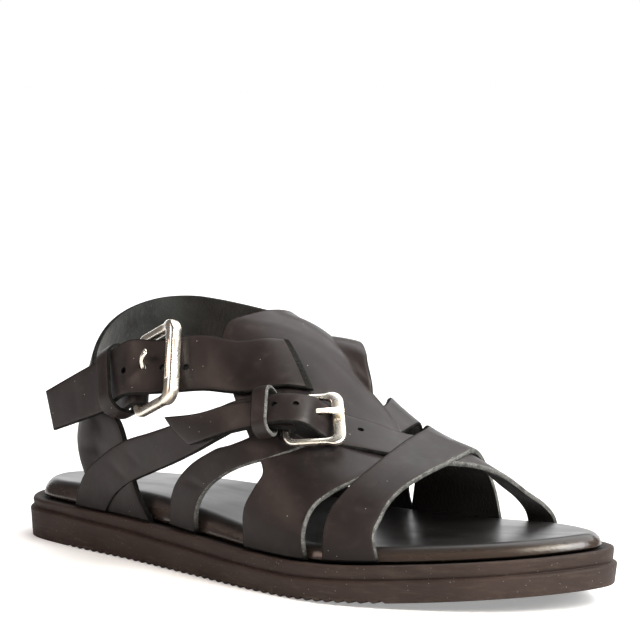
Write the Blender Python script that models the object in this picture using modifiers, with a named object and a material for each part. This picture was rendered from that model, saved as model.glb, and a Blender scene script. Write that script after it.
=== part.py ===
"""A right-foot buckle sandal: a stepped, ribbed outsole, a padded insole, a hollow upper of joined leather
straps, a separate ankle strap, two keeper loops and two buckles.

Tables are in millimetres. x runs from the back of the heel to the toe, minus y is the lateral side and z is up.
Straps lie on a last: a run of arched sections for the foot, and a half ellipse at each height for the heel.
"""
import math
from collections import namedtuple

import bmesh
import bpy
import numpy as np
from mathutils import Matrix, Vector

# Sizes of the whole shoe, mm
LENGTH = 274.0
HEEL_PAD_X = 30.0
METRE = 0.001
GAP = 0.3
LEATHER = 2.0
SEAT_GAP = 0.6
SHARES = (0.0, 0.33, 0.67, 1.0)
BAND_END_WIDTH = 20.0
BASE_END_WIDTH = 11.0

# Outsole sizes, mm
WALL_HEEL = 12.0
WALL_FORE = 8.0
STEP_HEEL = 3.5
STEP_FORE = 5.2
TOE_SPRING = 8.0
SPRING_START = 170.0
SPRING_POWER = 1.6
FALL_START = 25.0
FALL_RUN = 165.0
STEP_START = 10.0
STEP_RUN = 110.0
LEDGE = 4.5
STATIONS = 42
RIB_FIRST = 43.0
RIB_LAST = 219.0
RIB_PITCH = 4.4
RIB_WIDTH = 2.0
RIB_DEPTH = 1.1
RIB_REACH = 70.0
# Side of the outsole from the floor up: inset, level that it is measured from, rise above that level
Wall = namedtuple("Wall", "inset level rise")
WALL = [
    Wall(1.6, "bottom", 0.0),
    Wall(0.8, "bottom", 1.0),
    Wall(0.0, "groove", -1.2),
    Wall(0.5, "groove", -0.3),
    Wall(1.8, "groove", 0.0),
    Wall(1.5, "groove", 0.8),
    Wall(1.2, "ledge", -0.8),
    Wall(1.9, "ledge", 0.0),
]

# Insole sizes, mm
RIM_HEEL = 7.0
RIM_WAIST = 2.5
RIM_FORE = 1.2
DISH = 1.6
SIDE_CLEAR = 1.1
WAIST_X = 85.0
WAIST_RUN = 45.0
FORE_START = 110.0
FORE_RUN = 60.0
# Round rim from the bottom up: inset from the side, share of the rim's height
Rim = namedtuple("Rim", "inset share")
RIM = [
    Rim(1.4, 0.0),
    Rim(0.2, 0.18),
    Rim(0.0, 0.42),
    Rim(0.5, 0.75),
    Rim(1.8, 0.95),
    Rim(3.4, 1.0),
]
# Dished top: share of the way in to the middle line, share of the dish's depth
Top = namedtuple("Top", "inwards depth")
TOP = [
    Top(0.2, 0.5),
    Top(0.5, 1.0),
]

# Outline of the outsole from the heel's back along the lateral side to the toe, and back along the medial side
Plan = namedtuple("Plan", "x y")
LATERAL = [
    Plan(0.0, 0.0),
    Plan(12.0, -22.0),
    Plan(40.0, -30.5),
    Plan(80.0, -36.0),
    Plan(120.0, -43.0),
    Plan(160.0, -50.0),
    Plan(195.0, -51.0),
    Plan(230.0, -38.0),
    Plan(258.0, -19.5),
    Plan(270.0, -4.0),
    Plan(274.0, 9.0),
]
MEDIAL = [
    Plan(269.5, 20.5),
    Plan(258.0, 31.5),
    Plan(235.0, 44.5),
    Plan(200.0, 50.0),
    Plan(165.0, 48.0),
    Plan(120.0, 35.5),
    Plan(80.0, 28.5),
    Plan(40.0, 29.0),
    Plan(12.0, 21.0),
]

# Top line of the last: x, ridge y, ridge z, fullness of the arch
Ridge = namedtuple("Ridge", "x y z full")
RIDGE = [
    Ridge(0.0, 0.0, 150.0, 4.0),
    Ridge(60.0, 0.0, 150.0, 4.0),
    Ridge(95.0, -2.0, 122.0, 3.0),
    Ridge(112.0, -3.0, 103.0, 2.4),
    Ridge(125.0, -3.0, 94.0, 2.2),
    Ridge(138.0, 0.0, 89.0, 2.1),
    Ridge(152.0, 4.0, 79.0, 2.0),
    Ridge(166.0, 9.0, 63.0, 2.0),
    Ridge(182.0, 13.0, 51.0, 2.0),
    Ridge(207.0, 18.0, 42.0, 2.0),
    Ridge(232.0, 20.0, 34.0, 2.1),
    Ridge(262.0, 20.0, 26.0, 2.2),
]

# Heel of the last by height: back x, lateral y at the widest line and HEEL_FORE ahead of it, medial y
Heel = namedtuple("Heel", "z back lateral fore medial")
HEEL_LINE = 58.0
HEEL_FORE = 30.0
HEEL_REACH = 100.0
LAST_CORE_Z = 12.0
HEEL = [
    Heel(16.0, 14.0, -27.8, -33.2, 25.0),
    Heel(40.0, 28.5, -26.5, -34.0, 25.0),
    Heel(55.0, 34.0, -25.5, -34.0, 26.0),
    Heel(70.0, 39.0, -23.0, -33.5, 27.0),
    Heel(85.0, 42.0, -19.0, -32.0, 27.0),
    Heel(97.0, 43.0, -17.0, -31.0, 27.0),
]

# Straps on the foot: rear x and turn, front x and turn, lift of the inner face
# Turn is 0 at the lateral seat, 90 on the ridge and 180 at the medial seat
Foot = namedtuple("Foot", "rear_x rear_turn front_x front_turn lift")
VAMP = [
    Foot(151.0, 0.0, 184.0, 0.0, 0.0),
    Foot(150.0, 12.0, 182.0, 16.0, 0.0),
    Foot(154.0, 21.0, 182.0, 28.0, 0.2),
    Foot(156.0, 27.0, 188.0, 38.0, 0.7),
    Foot(147.0, 33.0, 193.0, 48.0, 1.2),
    Foot(138.0, 39.0, 193.0, 62.0, 1.2),
    Foot(130.0, 46.0, 187.0, 76.0, 1.2),
    Foot(124.0, 52.0, 178.0, 86.0, 1.2),
    Foot(120.0, 58.0, 168.0, 90.0, 1.2),
    Foot(119.0, 66.0, 161.0, 90.0, 1.2),
    Foot(121.0, 74.0, 155.0, 92.0, 1.6),
    Foot(122.0, 86.0, 149.0, 97.0, 1.8),
    Foot(121.0, 100.0, 143.0, 106.0, 1.4),
    Foot(117.0, 116.0, 137.0, 118.0, 1.2),
    Foot(112.0, 130.0, 132.0, 132.0, 1.2),
]
FRONT = [
    Foot(191.0, 0.0, 212.0, 0.0, 0.0),
    Foot(189.0, 18.0, 208.0, 20.0, 0.0),
    Foot(188.0, 29.0, 207.0, 31.0, 0.5),
    Foot(189.0, 38.0, 206.0, 41.0, 1.6),
    Foot(190.0, 48.0, 206.0, 50.0, 2.6),
    Foot(190.0, 62.0, 207.0, 62.0, 3.8),
    Foot(188.0, 73.0, 206.5, 74.0, 3.8),
    Foot(186.0, 82.0, 204.5, 86.0, 3.8),
    Foot(183.0, 94.0, 202.0, 98.0, 3.6),
    Foot(179.0, 108.0, 200.0, 112.0, 2.6),
    Foot(174.0, 126.0, 198.0, 128.0, 1.2),
    Foot(168.0, 150.0, 197.0, 152.0, 0.2),
    Foot(163.0, 180.0, 198.0, 180.0, 0.0),
]
INSTEP = [
    Foot(212.0, 180.0, 226.0, 180.0, 0.0),
    Foot(211.0, 163.0, 225.0, 163.0, -0.1),
    Foot(209.5, 148.0, 223.5, 147.0, -1.4),
    Foot(206.5, 130.0, 221.0, 126.0, -2.6),
    Foot(200.0, 112.0, 215.0, 104.0, -0.6),
    Foot(194.0, 98.0, 210.0, 86.0, 1.8),
    Foot(188.0, 89.0, 203.0, 74.0, 2.8),
    Foot(183.0, 83.0, 193.0, 68.0, 2.8),
    Foot(175.0, 77.0, 182.0, 62.0, 2.8),
    Foot(167.0, 69.0, 173.0, 55.5, 2.6),
    Foot(163.0, 63.0, 168.0, 51.5, 6.4),
    Foot(158.0, 56.0, 163.0, 47.5, 11.8),
    Foot(153.0, 50.0, 158.0, 43.0, 12.0),
    Foot(148.0, 44.0, 151.0, 36.0, 10.6),
    Foot(140.0, 39.0, 143.0, 31.0, 9.2),
    Foot(126.0, 32.0, 133.0, 26.0, 7.4),
    Foot(107.0, 21.0, 123.0, 22.0, 6.0),
]
LOW_FRONT = [
    Foot(106.0, 0.0, 120.0, 0.0, 0.0),
    Foot(106.0, 4.0, 120.0, 3.5, 0.0),
    Foot(109.0, 8.0, 123.0, 7.5, 0.0),
    Foot(115.0, 13.0, 128.0, 12.0, 0.0),
    Foot(123.0, 18.5, 136.0, 17.0, 0.0),
    Foot(131.0, 24.0, 146.0, 24.0, 0.6),
    Foot(140.0, 29.0, 156.0, 30.0, 1.6),
    Foot(149.0, 36.0, 165.0, 40.0, 2.0),
    Foot(156.0, 45.0, 170.0, 51.0, 2.0),
]
INNER_REAR = [
    Foot(148.0, 82.0, 163.0, 82.0, 0.2),
    Foot(146.0, 97.0, 162.0, 96.0, 1.0),
    Foot(140.0, 112.0, 157.0, 111.0, 1.6),
    Foot(129.0, 130.0, 147.0, 130.0, 0.6),
    Foot(116.0, 150.0, 136.0, 150.0, 0.0),
    Foot(107.0, 166.0, 128.0, 166.0, 0.0),
    Foot(103.0, 180.0, 125.0, 180.0, 0.0),
]
INNER_FORE = [
    Foot(166.0, 80.0, 181.0, 80.0, 0.0),
    Foot(163.0, 97.0, 178.0, 97.0, 0.0),
    Foot(158.0, 113.0, 174.0, 113.0, 0.0),
    Foot(152.0, 131.0, 168.0, 131.0, 0.0),
    Foot(146.0, 150.0, 162.0, 150.0, 0.0),
    Foot(141.0, 166.0, 157.0, 166.0, 0.0),
    Foot(138.0, 180.0, 154.0, 180.0, 0.0),
]

# Straps on the side of the foot: upper x and z, lower x and z, lifts of the two edges
Side = namedtuple("Side", "top_x top_z low_x low_z top_lift low_lift")
BASE = [
    Side(45.0, 16.2, 65.0, 16.2, 0.2, 0.2),
    Side(47.0, 22.0, 68.0, 20.5, 0.3, 0.3),
    Side(52.0, 30.0, 73.0, 25.0, 0.5, 0.5),
    Side(63.0, 38.0, 82.0, 30.0, 0.9, 0.9),
    Side(78.0, 45.5, 95.0, 35.0, 1.3, 1.3),
    Side(95.0, 50.5, 110.0, 40.5, 2.0, 2.0),
    Side(112.0, 55.5, 124.0, 46.0, 3.6, 3.2),
    Side(131.0, 60.6, 138.0, 51.5, 5.8, 5.4),
    Side(144.0, 63.6, 148.0, 54.6, 7.8, 7.8),
]
ANKLE_ON_FOOT = [
    Foot(142.0, 73.0, 157.0, 64.0, 3.8),
    Foot(136.0, 67.0, 150.0, 55.0, 3.8),
    Foot(128.0, 61.0, 139.0, 44.0, 3.8),
]
ANKLE_ON_SIDE = [
    Side(114.0, 85.2, 122.0, 67.0, 3.6, 4.6),
    Side(104.0, 84.6, 109.0, 65.8, 3.8, 6.4),
    Side(97.0, 84.4, 101.0, 65.0, 5.4, 9.4),
    Side(89.0, 84.5, 92.0, 64.3, 7.8, 11.4),
    Side(80.0, 81.5, 83.0, 61.5, 7.2, 9.8),
    Side(69.0, 76.5, 72.0, 56.5, 5.4, 5.8),
    Side(52.0, 68.5, 56.0, 51.0, 6.4, 6.4),
    Side(36.0, 61.0, 41.0, 46.0, 7.8, 7.4),
]

# Heel band and its leg: places round the heel (0 at the back, 1 at the lateral line, -1 at the medial line)
Round = namedtuple("Round", "low_place low_z top_place top_z lift")
BAND = [
    Round(1.16, 52.5, 1.08, 73.0, 1.8),
    Round(0.94, 45.5, 0.90, 69.5, 1.2),
    Round(0.65, 43.0, 0.62, 75.0, 1.2),
    Round(0.35, 43.0, 0.33, 84.0, 1.2),
    Round(0.0, 46.0, 0.0, 90.5, 1.0),
    Round(-0.4, 52.0, -0.4, 94.5, 0.6),
    Round(-0.8, 59.0, -0.8, 95.5, 0.2),
    Round(-1.1, 65.0, -1.1, 95.0, 0.0),
    Round(-1.35, 68.0, -1.35, 92.5, 0.0),
    Round(-1.5, 69.0, -1.5, 90.5, 0.0),
]
BAND_ON_FOOT = [
    Side(120.0, 87.0, 119.0, 68.0, 0.0, 0.0),
    Side(129.0, 83.5, 128.0, 67.0, 0.0, 0.0),
]
LEG = [
    Round(1.05, 16.2, 1.30, 16.2, 0.0),
    Round(1.03, 22.0, 1.24, 24.0, 0.0),
    Round(0.97, 28.0, 1.19, 31.0, 0.0),
    Round(0.85, 33.0, 1.17, 41.0, 0.0),
    Round(0.68, 35.5, 1.08, 51.0, 0.0),
    Round(0.45, 36.0, 0.82, 59.0, 0.0),
    Round(0.2, 37.0, 0.45, 64.0, 0.0),
    Round(0.0, 39.0, 0.15, 67.0, 0.0),
    Round(-0.2, 44.0, -0.1, 68.0, 0.0),
]

# Buckles: middle of the hinge bar, way to the outer bar, way up the bar, sizes over the wire's middle
Buckle = namedtuple("Buckle", "hinge ahead across length width wire corner")
ANKLE_BUCKLE = Buckle((88.5, -36.2, 70.5), (22.3, -4.6, 9.3), (-9.0, 11.0, 26.5), 24.0, 29.0, 1.5, 3.5)
INSTEP_BUCKLE = Buckle((160.3, -33.7, 60.4), (13.6, 13.4, 0.9), (-7.0, 9.0, 11.5), 19.5, 20.0, 1.2, 3.0)
# Keeper loops: middle, way along the strap, way up across it, clear depth, clear height, length along the strap
Keeper = namedtuple("Keeper", "middle ahead across depth height length")
ANKLE_KEEPER = Keeper((72.2, -34.6, 65.4), (24.0, -2.5, 11.0), (-10.0, 4.6, 22.0), 14.2, 27.6, 10.5)
INSTEP_KEEPER = Keeper((153.6, -39.8, 63.5), (9.3, 3.4, 2.2), (-4.0, 6.2, 10.0), 8.6, 16.8, 8.0)
ROLLER_LENGTH = 15.5
ROLLER_WALL = 0.7
FOLD_BACK = 2.0
KEEPER_WALL = 1.5

# Prongs, seen from the hinge bar's middle: way ahead, way out, way across
Prong = namedtuple("Prong", "ahead out across")
PRONG_RADIUS = 1.0
SLOT_WIDTH = 3.0
ANKLE_PRONG = [
    Prong(-1.0, 2.9, 0.0),
    Prong(2.5, 3.1, 0.0),
    Prong(5.5, 4.3, 0.0),
    Prong(9.0, 6.6, 0.2),
    Prong(13.5, 7.6, 2.4),
]
INSTEP_PRONG = [
    Prong(-0.8, 2.6, 0.0),
    Prong(4.0, 3.0, 0.0),
    Prong(11.0, 3.6, 0.0),
    Prong(18.5, 2.7, 0.0),
    Prong(21.5, 2.2, 0.0),
]

# Slots for the prongs, seen from the hinge bar's middle: from and to ahead, from and to out
Slot = namedtuple("Slot", "ahead_from ahead_to out_from out_to")
ANKLE_FOLD_SLOT = Slot(-2.4, 4.6, 0.0, 3.95)
ANKLE_STRAP_SLOT = Slot(1.4, 10.2, 0.0, 7.5)
INSTEP_FOLD_SLOT = Slot(-2.2, 4.0, 0.0, 3.65)
INSTEP_STRAP_SLOT = Slot(2.2, 13.6, -1.0, 7.0)


def through(rows, steps):
    """Smooth curve through the rows, steps points to each gap, with tangents that allow for uneven spacing."""
    rows = np.asarray(rows, float)
    step = np.diff(rows, axis=0)
    span = np.sqrt(np.linalg.norm(step, axis=1))[:, None] + 1e-9
    pace = step / span
    slope = np.concatenate([pace[:1], pace[:-1] + pace[1:], pace[-1:]])
    slope[1:-1] -= (rows[2:] - rows[:-2]) / (span[:-1] + span[1:])
    place = np.linspace(0.0, len(rows) - 1.0, steps * (len(rows) - 1) + 1)
    low = np.minimum(place.astype(int), len(rows) - 2)
    part = (place - low)[:, None]
    start = 2.0 * part**3 - 3.0 * part**2 + 1.0
    leave = (part**3 - 2.0 * part**2 + part) * span[low]
    reach = (part**3 - part**2) * span[low]
    return rows[low] * start + slope[low] * leave + rows[low + 1] * (1.0 - start) + slope[low + 1] * reach


def at_x(rows, x):
    """Columns of a table at x, smooth between its rows."""
    dense = through(rows, 12)
    return [np.interp(x, dense[:, 0], dense[:, column]) for column in range(1, dense.shape[1])]


def ease(value):
    """Soft step from 0 to 1."""
    value = np.clip(value, 0.0, 1.0)
    return value * value * (3.0 - 2.0 * value)


def spring(x):
    """Rise of the bottom towards the toe."""
    return TOE_SPRING * np.clip((x - SPRING_START) / (LENGTH - SPRING_START), 0.0, 1.0) ** SPRING_POWER


def groove_z(x):
    """Height of the groove in the sole's side."""
    return WALL_HEEL - (WALL_HEEL - WALL_FORE) * ease((x - FALL_START) / FALL_RUN) + spring(x)


def ledge_z(x):
    """Height of the ledge round the insole."""
    return groove_z(x) + STEP_HEEL + (STEP_FORE - STEP_HEEL) * ease((x - STEP_START) / STEP_RUN)


def rim_z(x):
    """Height of the insole's rim."""
    waist = RIM_WAIST * np.exp(-(((x - WAIST_X) / WAIST_RUN) ** 2))
    return ledge_z(x) + RIM_HEEL + waist - RIM_FORE * ease((x - FORE_START) / FORE_RUN)


def closed_curve(points, steps):
    """Closed smooth curve whose tangents allow for uneven spacing."""
    here = np.asarray(points, float)
    before = np.roll(here, 1, axis=0)
    after = np.roll(here, -1, axis=0)
    span_in = np.sqrt(np.linalg.norm(here - before, axis=1))[:, None]
    span_out = np.roll(span_in, -1, axis=0)
    slope = (here - before) / span_in - (after - before) / (span_in + span_out) + (after - here) / span_out
    part = np.linspace(0.0, 1.0, steps, endpoint=False)[None, :, None]
    start = 2.0 * part**3 - 3.0 * part**2 + 1.0
    leave = (part**3 - 2.0 * part**2 + part) * span_out[:, None]
    reach = (part**3 - part**2) * span_out[:, None]
    curve = here[:, None] * start + slope[:, None] * leave + after[:, None] * (1.0 - start)
    return (curve + np.roll(slope, -1, axis=0)[:, None] * reach).reshape(-1, 2)


def spaced(line, count):
    """Points at even steps along a line."""
    reach = np.concatenate([[0.0], np.cumsum(np.linalg.norm(np.diff(line, axis=0), axis=1))])
    place = np.linspace(0.0, reach[-1], count)
    return np.stack([np.interp(place, reach, line[:, axis]) for axis in range(2)], axis=1)


def outline_ring(inset):
    """Closed ring of x, y: lateral side from heel to toe, then medial side back, moved inwards by the inset."""
    steps = 24
    curve = closed_curve(LATERAL + MEDIAL, steps)
    toe = steps * (len(LATERAL) - 1)
    lateral = spaced(curve[:toe + 1], STATIONS)
    medial = spaced(np.concatenate([curve[toe:], curve[:1]]), STATIONS)
    ring = np.concatenate([lateral, medial[1:-1]])
    along = np.roll(ring, -1, axis=0) - np.roll(ring, 1, axis=0)
    along /= np.linalg.norm(along, axis=1)[:, None]
    inward = np.stack([-along[:, 1], along[:, 0]], axis=1)
    return ring + inward * inset


SEAT_RING = outline_ring(LEDGE)


def seat_y(x, medial):
    """y of the strap seats beside the insole."""
    half = SEAT_RING[STATIONS - 1:][::-1] if medial else SEAT_RING[:STATIONS]
    return np.interp(x, half[:, 0], half[:, 1])


def on_foot(x, turn):
    """Point of the last's arched section at x."""
    ridge_y, ridge_z, full = at_x(RIDGE, x)
    medial = turn > 90.0
    angle = math.radians(180.0 - turn if medial else turn)
    base_y = seat_y(x, medial)
    base_z = ledge_z(x) + SEAT_GAP
    out = max(math.cos(angle), 0.0) ** (2.0 / full)
    rise = max(math.sin(angle), 0.0) ** (2.0 / full)
    return np.array([x, ridge_y + (base_y - ridge_y) * out, base_z + (ridge_z - base_z) * rise])


def on_side(x, z, medial=False):
    """Point of the last's side at x and height z."""
    ridge_y, ridge_z, full = at_x(RIDGE, x)
    base_y = seat_y(x, medial)
    base_z = ledge_z(x) + SEAT_GAP
    rise = np.clip((z - base_z) / (ridge_z - base_z), 0.0, 1.0)
    return np.array([x, ridge_y + (base_y - ridge_y) * (1.0 - rise**full) ** (1.0 / full), z])


def on_medial(x, z):
    """Point of the last's medial side."""
    return on_side(x, z, True)


def on_heel(place, z):
    """Point of the last's heel: half an ellipse round the back, then straight sides."""
    back, lateral, fore, medial = at_x(HEEL, z)
    middle = 0.5 * (lateral + medial)
    half = 0.5 * (medial - lateral)
    beyond = max(abs(place) - 1.0, 0.0)
    angle = 0.5 * math.pi * np.clip(place, -1.0, 1.0)
    x = HEEL_LINE - (HEEL_LINE - back) * math.cos(angle) + beyond * HEEL_REACH
    y = middle - half * math.sin(angle)
    if place > 1.0:
        y += (fore - lateral) * beyond * HEEL_REACH / HEEL_FORE
    return np.array([x, y, z])


def raised(chart, first, second, lift):
    """Chart point moved outwards along the chart's normal."""
    point = chart(first, second)
    one = chart(first + 0.02, second) - chart(first - 0.02, second)
    two = chart(first, second + 0.02) - chart(first, second - 0.02)
    normal = np.cross(one, two)
    normal /= np.linalg.norm(normal) + 1e-12
    centre = np.array([max(point[0], HEEL_LINE), 0.0, LAST_CORE_Z])
    if np.dot(normal, point - centre) < 0.0:
        normal = -normal
    return point + normal * lift


def foot_lines(rows):
    """Rows of points across a strap on the foot, from its rear edge to its front edge."""
    lines = []
    for row in rows:
        line = []
        for share in SHARES:
            x = row.rear_x + (row.front_x - row.rear_x) * share
            turn = row.rear_turn + (row.front_turn - row.rear_turn) * share
            line.append(raised(on_foot, x, min(max(turn, 0.1), 179.9), row.lift))
        lines.append(line)
    return np.array(lines)


def side_lines(rows, chart):
    """Rows of points across a strap on a side of the foot, from its upper edge to its lower edge."""
    lines = []
    for row in rows:
        line = []
        for share in SHARES:
            x = row.top_x + (row.low_x - row.top_x) * share
            z = row.top_z + (row.low_z - row.top_z) * share
            line.append(raised(chart, x, z, row.top_lift + (row.low_lift - row.top_lift) * share))
        lines.append(line)
    return np.array(lines)


def heel_lines(rows):
    """Rows of points across a strap round the heel, from its upper edge to its lower edge."""
    lines = []
    for row in rows:
        line = []
        for share in SHARES:
            place = row.top_place + (row.low_place - row.top_place) * share
            z = row.top_z + (row.low_z - row.top_z) * share
            line.append(raised(on_heel, place, z, row.lift))
        lines.append(line)
    return np.array(lines)


def unit(vector):
    """Vector of length one."""
    vector = np.asarray(vector, float)
    return vector / np.linalg.norm(vector)


def axes_of(piece):
    """Way ahead, way across and way out of a buckle or keeper, all square to each other."""
    ahead = unit(piece.ahead)
    across = np.asarray(piece.across, float)
    across = unit(across - ahead * np.dot(across, ahead))
    out = np.cross(ahead, across)
    if out[1] > 0.0:
        out = -out
    return ahead, across, out


def fold_lines(buckle, width):
    """Rows of a strap end that passes over the hinge bar and back beneath it."""
    ahead, across, out = axes_of(buckle)
    radius = buckle.wire + GAP
    middles = []
    for degrees in (0.0, 45.0, 90.0, 135.0, 180.0):
        angle = math.radians(degrees)
        middles.append(np.asarray(buckle.hinge) + radius * (math.cos(angle) * out + math.sin(angle) * ahead))
    middles.append(middles[-1] - ahead * FOLD_BACK)
    return np.array([[middle + across * width * (0.5 - share) for share in SHARES] for middle in middles])


def metres(points):
    """Table millimetres to the part's frame: metres from the middle of the heel pad on the floor."""
    return (np.asarray(points, float) - np.array([HEEL_PAD_X, 0.0, 0.0])) * METRE


def new_object(name, points, faces, collection):
    """Mesh object from millimetre points and faces."""
    mesh = bpy.data.meshes.new(name)
    mesh.from_pydata([tuple(point) for point in metres(points)], [], faces)
    mesh.validate()
    thing = bpy.data.objects.new(name, mesh)
    collection.objects.link(thing)
    return thing


def outward(thing):
    """Turns a closed mesh's faces outwards."""
    shape = bmesh.new()
    shape.from_mesh(thing.data)
    bmesh.ops.remove_doubles(shape, verts=shape.verts, dist=1e-7)
    bmesh.ops.recalc_face_normals(shape, faces=shape.faces)
    if shape.calc_volume(signed=True) < 0.0:
        bmesh.ops.reverse_faces(shape, faces=shape.faces)
    shape.to_mesh(thing.data)
    shape.free()


def strap(name, lines, collection, steps=3, wall=LEATHER):
    """Strap through rows of points as an open sheet, thickened outwards by Solidify."""
    grid = np.stack([through(lines[:, column], steps) for column in range(lines.shape[1])], axis=1)
    along = np.gradient(grid, axis=0)
    over = np.gradient(grid, axis=1)
    normal = np.cross(along, over)
    centre = grid * np.array([1.0, 0.0, 0.0]) + np.array([0.0, 0.0, LAST_CORE_Z])
    centre[..., 0] = np.maximum(centre[..., 0], HEEL_LINE)
    if np.sum(normal * (grid - centre)) < 0.0:
        grid = grid[:, ::-1]
    rows, columns = grid.shape[:2]
    number = np.arange(rows * columns).reshape(rows, columns)
    faces = np.stack([number[:-1, :-1], number[1:, :-1], number[1:, 1:], number[:-1, 1:]], -1).reshape(-1, 4)
    thing = new_object(name, grid.reshape(-1, 3), faces.tolist(), collection)
    shell = thing.modifiers.new("wall", "SOLIDIFY")
    shell.thickness = wall * METRE
    shell.offset = 1.0
    shell.use_even_offset = False
    thing.modifiers.new("flat_faces", "TRIANGULATE")
    return thing


def join(thing, other):
    """Boolean union with another shape."""
    union = thing.modifiers.new(other.name, "BOOLEAN")
    union.operation = "UNION"
    union.solver = "EXACT"
    union.object = other


def cut(thing, other):
    """Boolean difference with a cutter."""
    difference = thing.modifiers.new(other.name, "BOOLEAN")
    difference.operation = "DIFFERENCE"
    difference.solver = "EXACT"
    difference.object = other


def ladder(ring_start, flip):
    """Faces of a cap between the lateral and medial halves of a ring."""
    lateral = [ring_start + index for index in range(STATIONS)]
    size = 2 * STATIONS - 2
    medial = [ring_start + (size - index) % size for index in range(STATIONS)]
    faces = []
    for index in range(STATIONS - 1):
        face = [lateral[index], lateral[index + 1], medial[index + 1], medial[index]]
        face = list(dict.fromkeys(face))
        faces.append(face[::-1] if flip else face)
    return faces


def stack(name, rings, collection):
    """Closed body from rings laid one over another, capped below and above."""
    size = len(rings[0])
    faces = ladder(0, True)
    for level in range(len(rings) - 1):
        for index in range(size):
            after = (index + 1) % size
            low = level * size
            high = low + size
            faces.append([low + index, low + after, high + after, high + index])
    faces += ladder((len(rings) - 1) * size, False)
    thing = new_object(name, np.concatenate(rings), faces, collection)
    outward(thing)
    return thing


def ring_at(inset, level):
    """Outline ring at an inset, with heights from a function of x."""
    ring = outline_ring(inset)
    x = np.clip(ring[:, 0], 0.0, LENGTH)
    return np.concatenate([ring, level(x)[:, None]], axis=1)


def drawn_in(inset, share, level):
    """Inset ring drawn in towards the middle line by a share, with heights from a function of x."""
    ring = outline_ring(inset)
    size = len(ring)
    partner = ring[(size - np.arange(size)) % size]
    middle = 0.5 * (ring + partner)
    middle[:, 0] = np.clip(ring[:, 0], HEEL_PAD_X, LENGTH - HEEL_PAD_X)
    ring = ring + (middle - ring) * share
    return np.concatenate([ring, level(ring[:, 0])[:, None]], axis=1)


def build_outsole(collection, cutters):
    """Outsole: drafted wall, groove, step and ledge, with ribs cut across the bottom."""
    levels = {"bottom": spring, "groove": groove_z, "ledge": ledge_z}
    rings = [ring_at(row.inset, lambda x, row=row: levels[row.level](x) + row.rise) for row in WALL]
    sole = stack("outsole", rings, collection)
    points, faces = [], []
    for middle in np.arange(RIB_FIRST, RIB_LAST, RIB_PITCH):
        rise = float(spring(middle))
        start = len(points)
        for side in (-1.0, 1.0):
            for x, z in ((-1.0, -1.0), (1.0, -1.0), (0.0, 1.0)):
                height = rise + RIB_DEPTH if z > 0.0 else rise - RIB_DEPTH
                points.append((middle + x * RIB_WIDTH, side * RIB_REACH, height))
        faces += [[start, start + 1, start + 2], [start + 3, start + 5, start + 4]]
        for corner in range(3):
            after = (corner + 1) % 3
            faces.append([start + corner, start + 3 + corner, start + 3 + after, start + after])
    comb = new_object("rib_comb", points, faces, cutters)
    outward(comb)
    cut(sole, comb)
    return sole


def build_insole(collection):
    """Insole: padded slab with a round rim and a dished top."""
    def part_way(share):
        return lambda x: ledge_z(x) + GAP + share * (rim_z(x) - ledge_z(x) - GAP)
    side = LEDGE + SIDE_CLEAR
    rings = [ring_at(side + row.inset, part_way(row.share)) for row in RIM]
    inner = side + RIM[-1].inset
    rings += [drawn_in(inner, row.inwards, lambda x, row=row: rim_z(x) - row.depth * DISH) for row in TOP]
    return stack("insole", rings, collection)


def tube(name, path, radius, closed, collection, sides=2):
    """Round wire along a path, made from a bevelled curve."""
    curve = bpy.data.curves.new(name, "CURVE")
    curve.dimensions = "3D"
    curve.bevel_depth = radius * METRE
    curve.bevel_resolution = sides
    curve.use_fill_caps = not closed
    line = curve.splines.new("POLY")
    line.points.add(len(path) - 1)
    for point, place in zip(line.points, metres(path)):
        point.co = (*place, 1.0)
    line.use_cyclic_u = closed
    carrier = bpy.data.objects.new(name + "_line", curve)
    collection.objects.link(carrier)
    mesh = bpy.data.meshes.new_from_object(carrier)
    bpy.data.objects.remove(carrier)
    mesh.name = name
    thing = bpy.data.objects.new(name, mesh)
    collection.objects.link(thing)
    outward(thing)
    return thing


def frame_path(buckle):
    """Rounded rectangle of a buckle frame."""
    ahead, across, _ = axes_of(buckle)
    path = []
    inner_length = buckle.length - 2.0 * buckle.corner
    inner_half = buckle.width / 2.0 - buckle.corner
    for base, side, start in ((1.0, 1.0, 0.0), (0.0, 1.0, 90.0), (0.0, -1.0, 180.0), (1.0, -1.0, 270.0)):
        for step in range(4):
            angle = math.radians(start + 30.0 * step)
            forward = buckle.corner + base * inner_length + buckle.corner * math.cos(angle)
            sideways = side * inner_half + buckle.corner * math.sin(angle)
            path.append(np.asarray(buckle.hinge) + ahead * forward + across * sideways)
    return path


def frame_box(middle, ahead, across, out):
    """Matrix that carries a primitive's x, y, z to ahead, across, out at a place."""
    matrix = Matrix(np.stack([ahead, across, out], axis=1).tolist()).to_4x4()
    matrix.translation = Vector(metres(middle).tolist())
    return matrix


def build_roller(buckle, collection):
    """Sleeve round the outer bar: an open tube thickened by Solidify."""
    ahead, across, out = axes_of(buckle)
    middle = np.asarray(buckle.hinge) + ahead * buckle.length
    points, faces = [], []
    sides = 12
    for end in (-0.5, 0.5):
        for side in range(sides):
            angle = 2.0 * math.pi * side / sides
            ring = (buckle.wire + GAP) / math.cos(math.pi / sides)
            points.append(middle + across * end * ROLLER_LENGTH
                          + ring * (math.cos(angle) * ahead + math.sin(angle) * out))
    for side in range(sides):
        after = (side + 1) % sides
        faces.append([side, after, sides + after, sides + side])
    thing = new_object("ankle_buckle_roller", points, faces, collection)
    shape = bmesh.new()
    shape.from_mesh(thing.data)
    bmesh.ops.recalc_face_normals(shape, faces=shape.faces)
    shape.to_mesh(thing.data)
    shape.free()
    wall = thing.modifiers.new("wall", "SOLIDIFY")
    wall.thickness = ROLLER_WALL * METRE
    wall.offset = 1.0
    return thing


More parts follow.
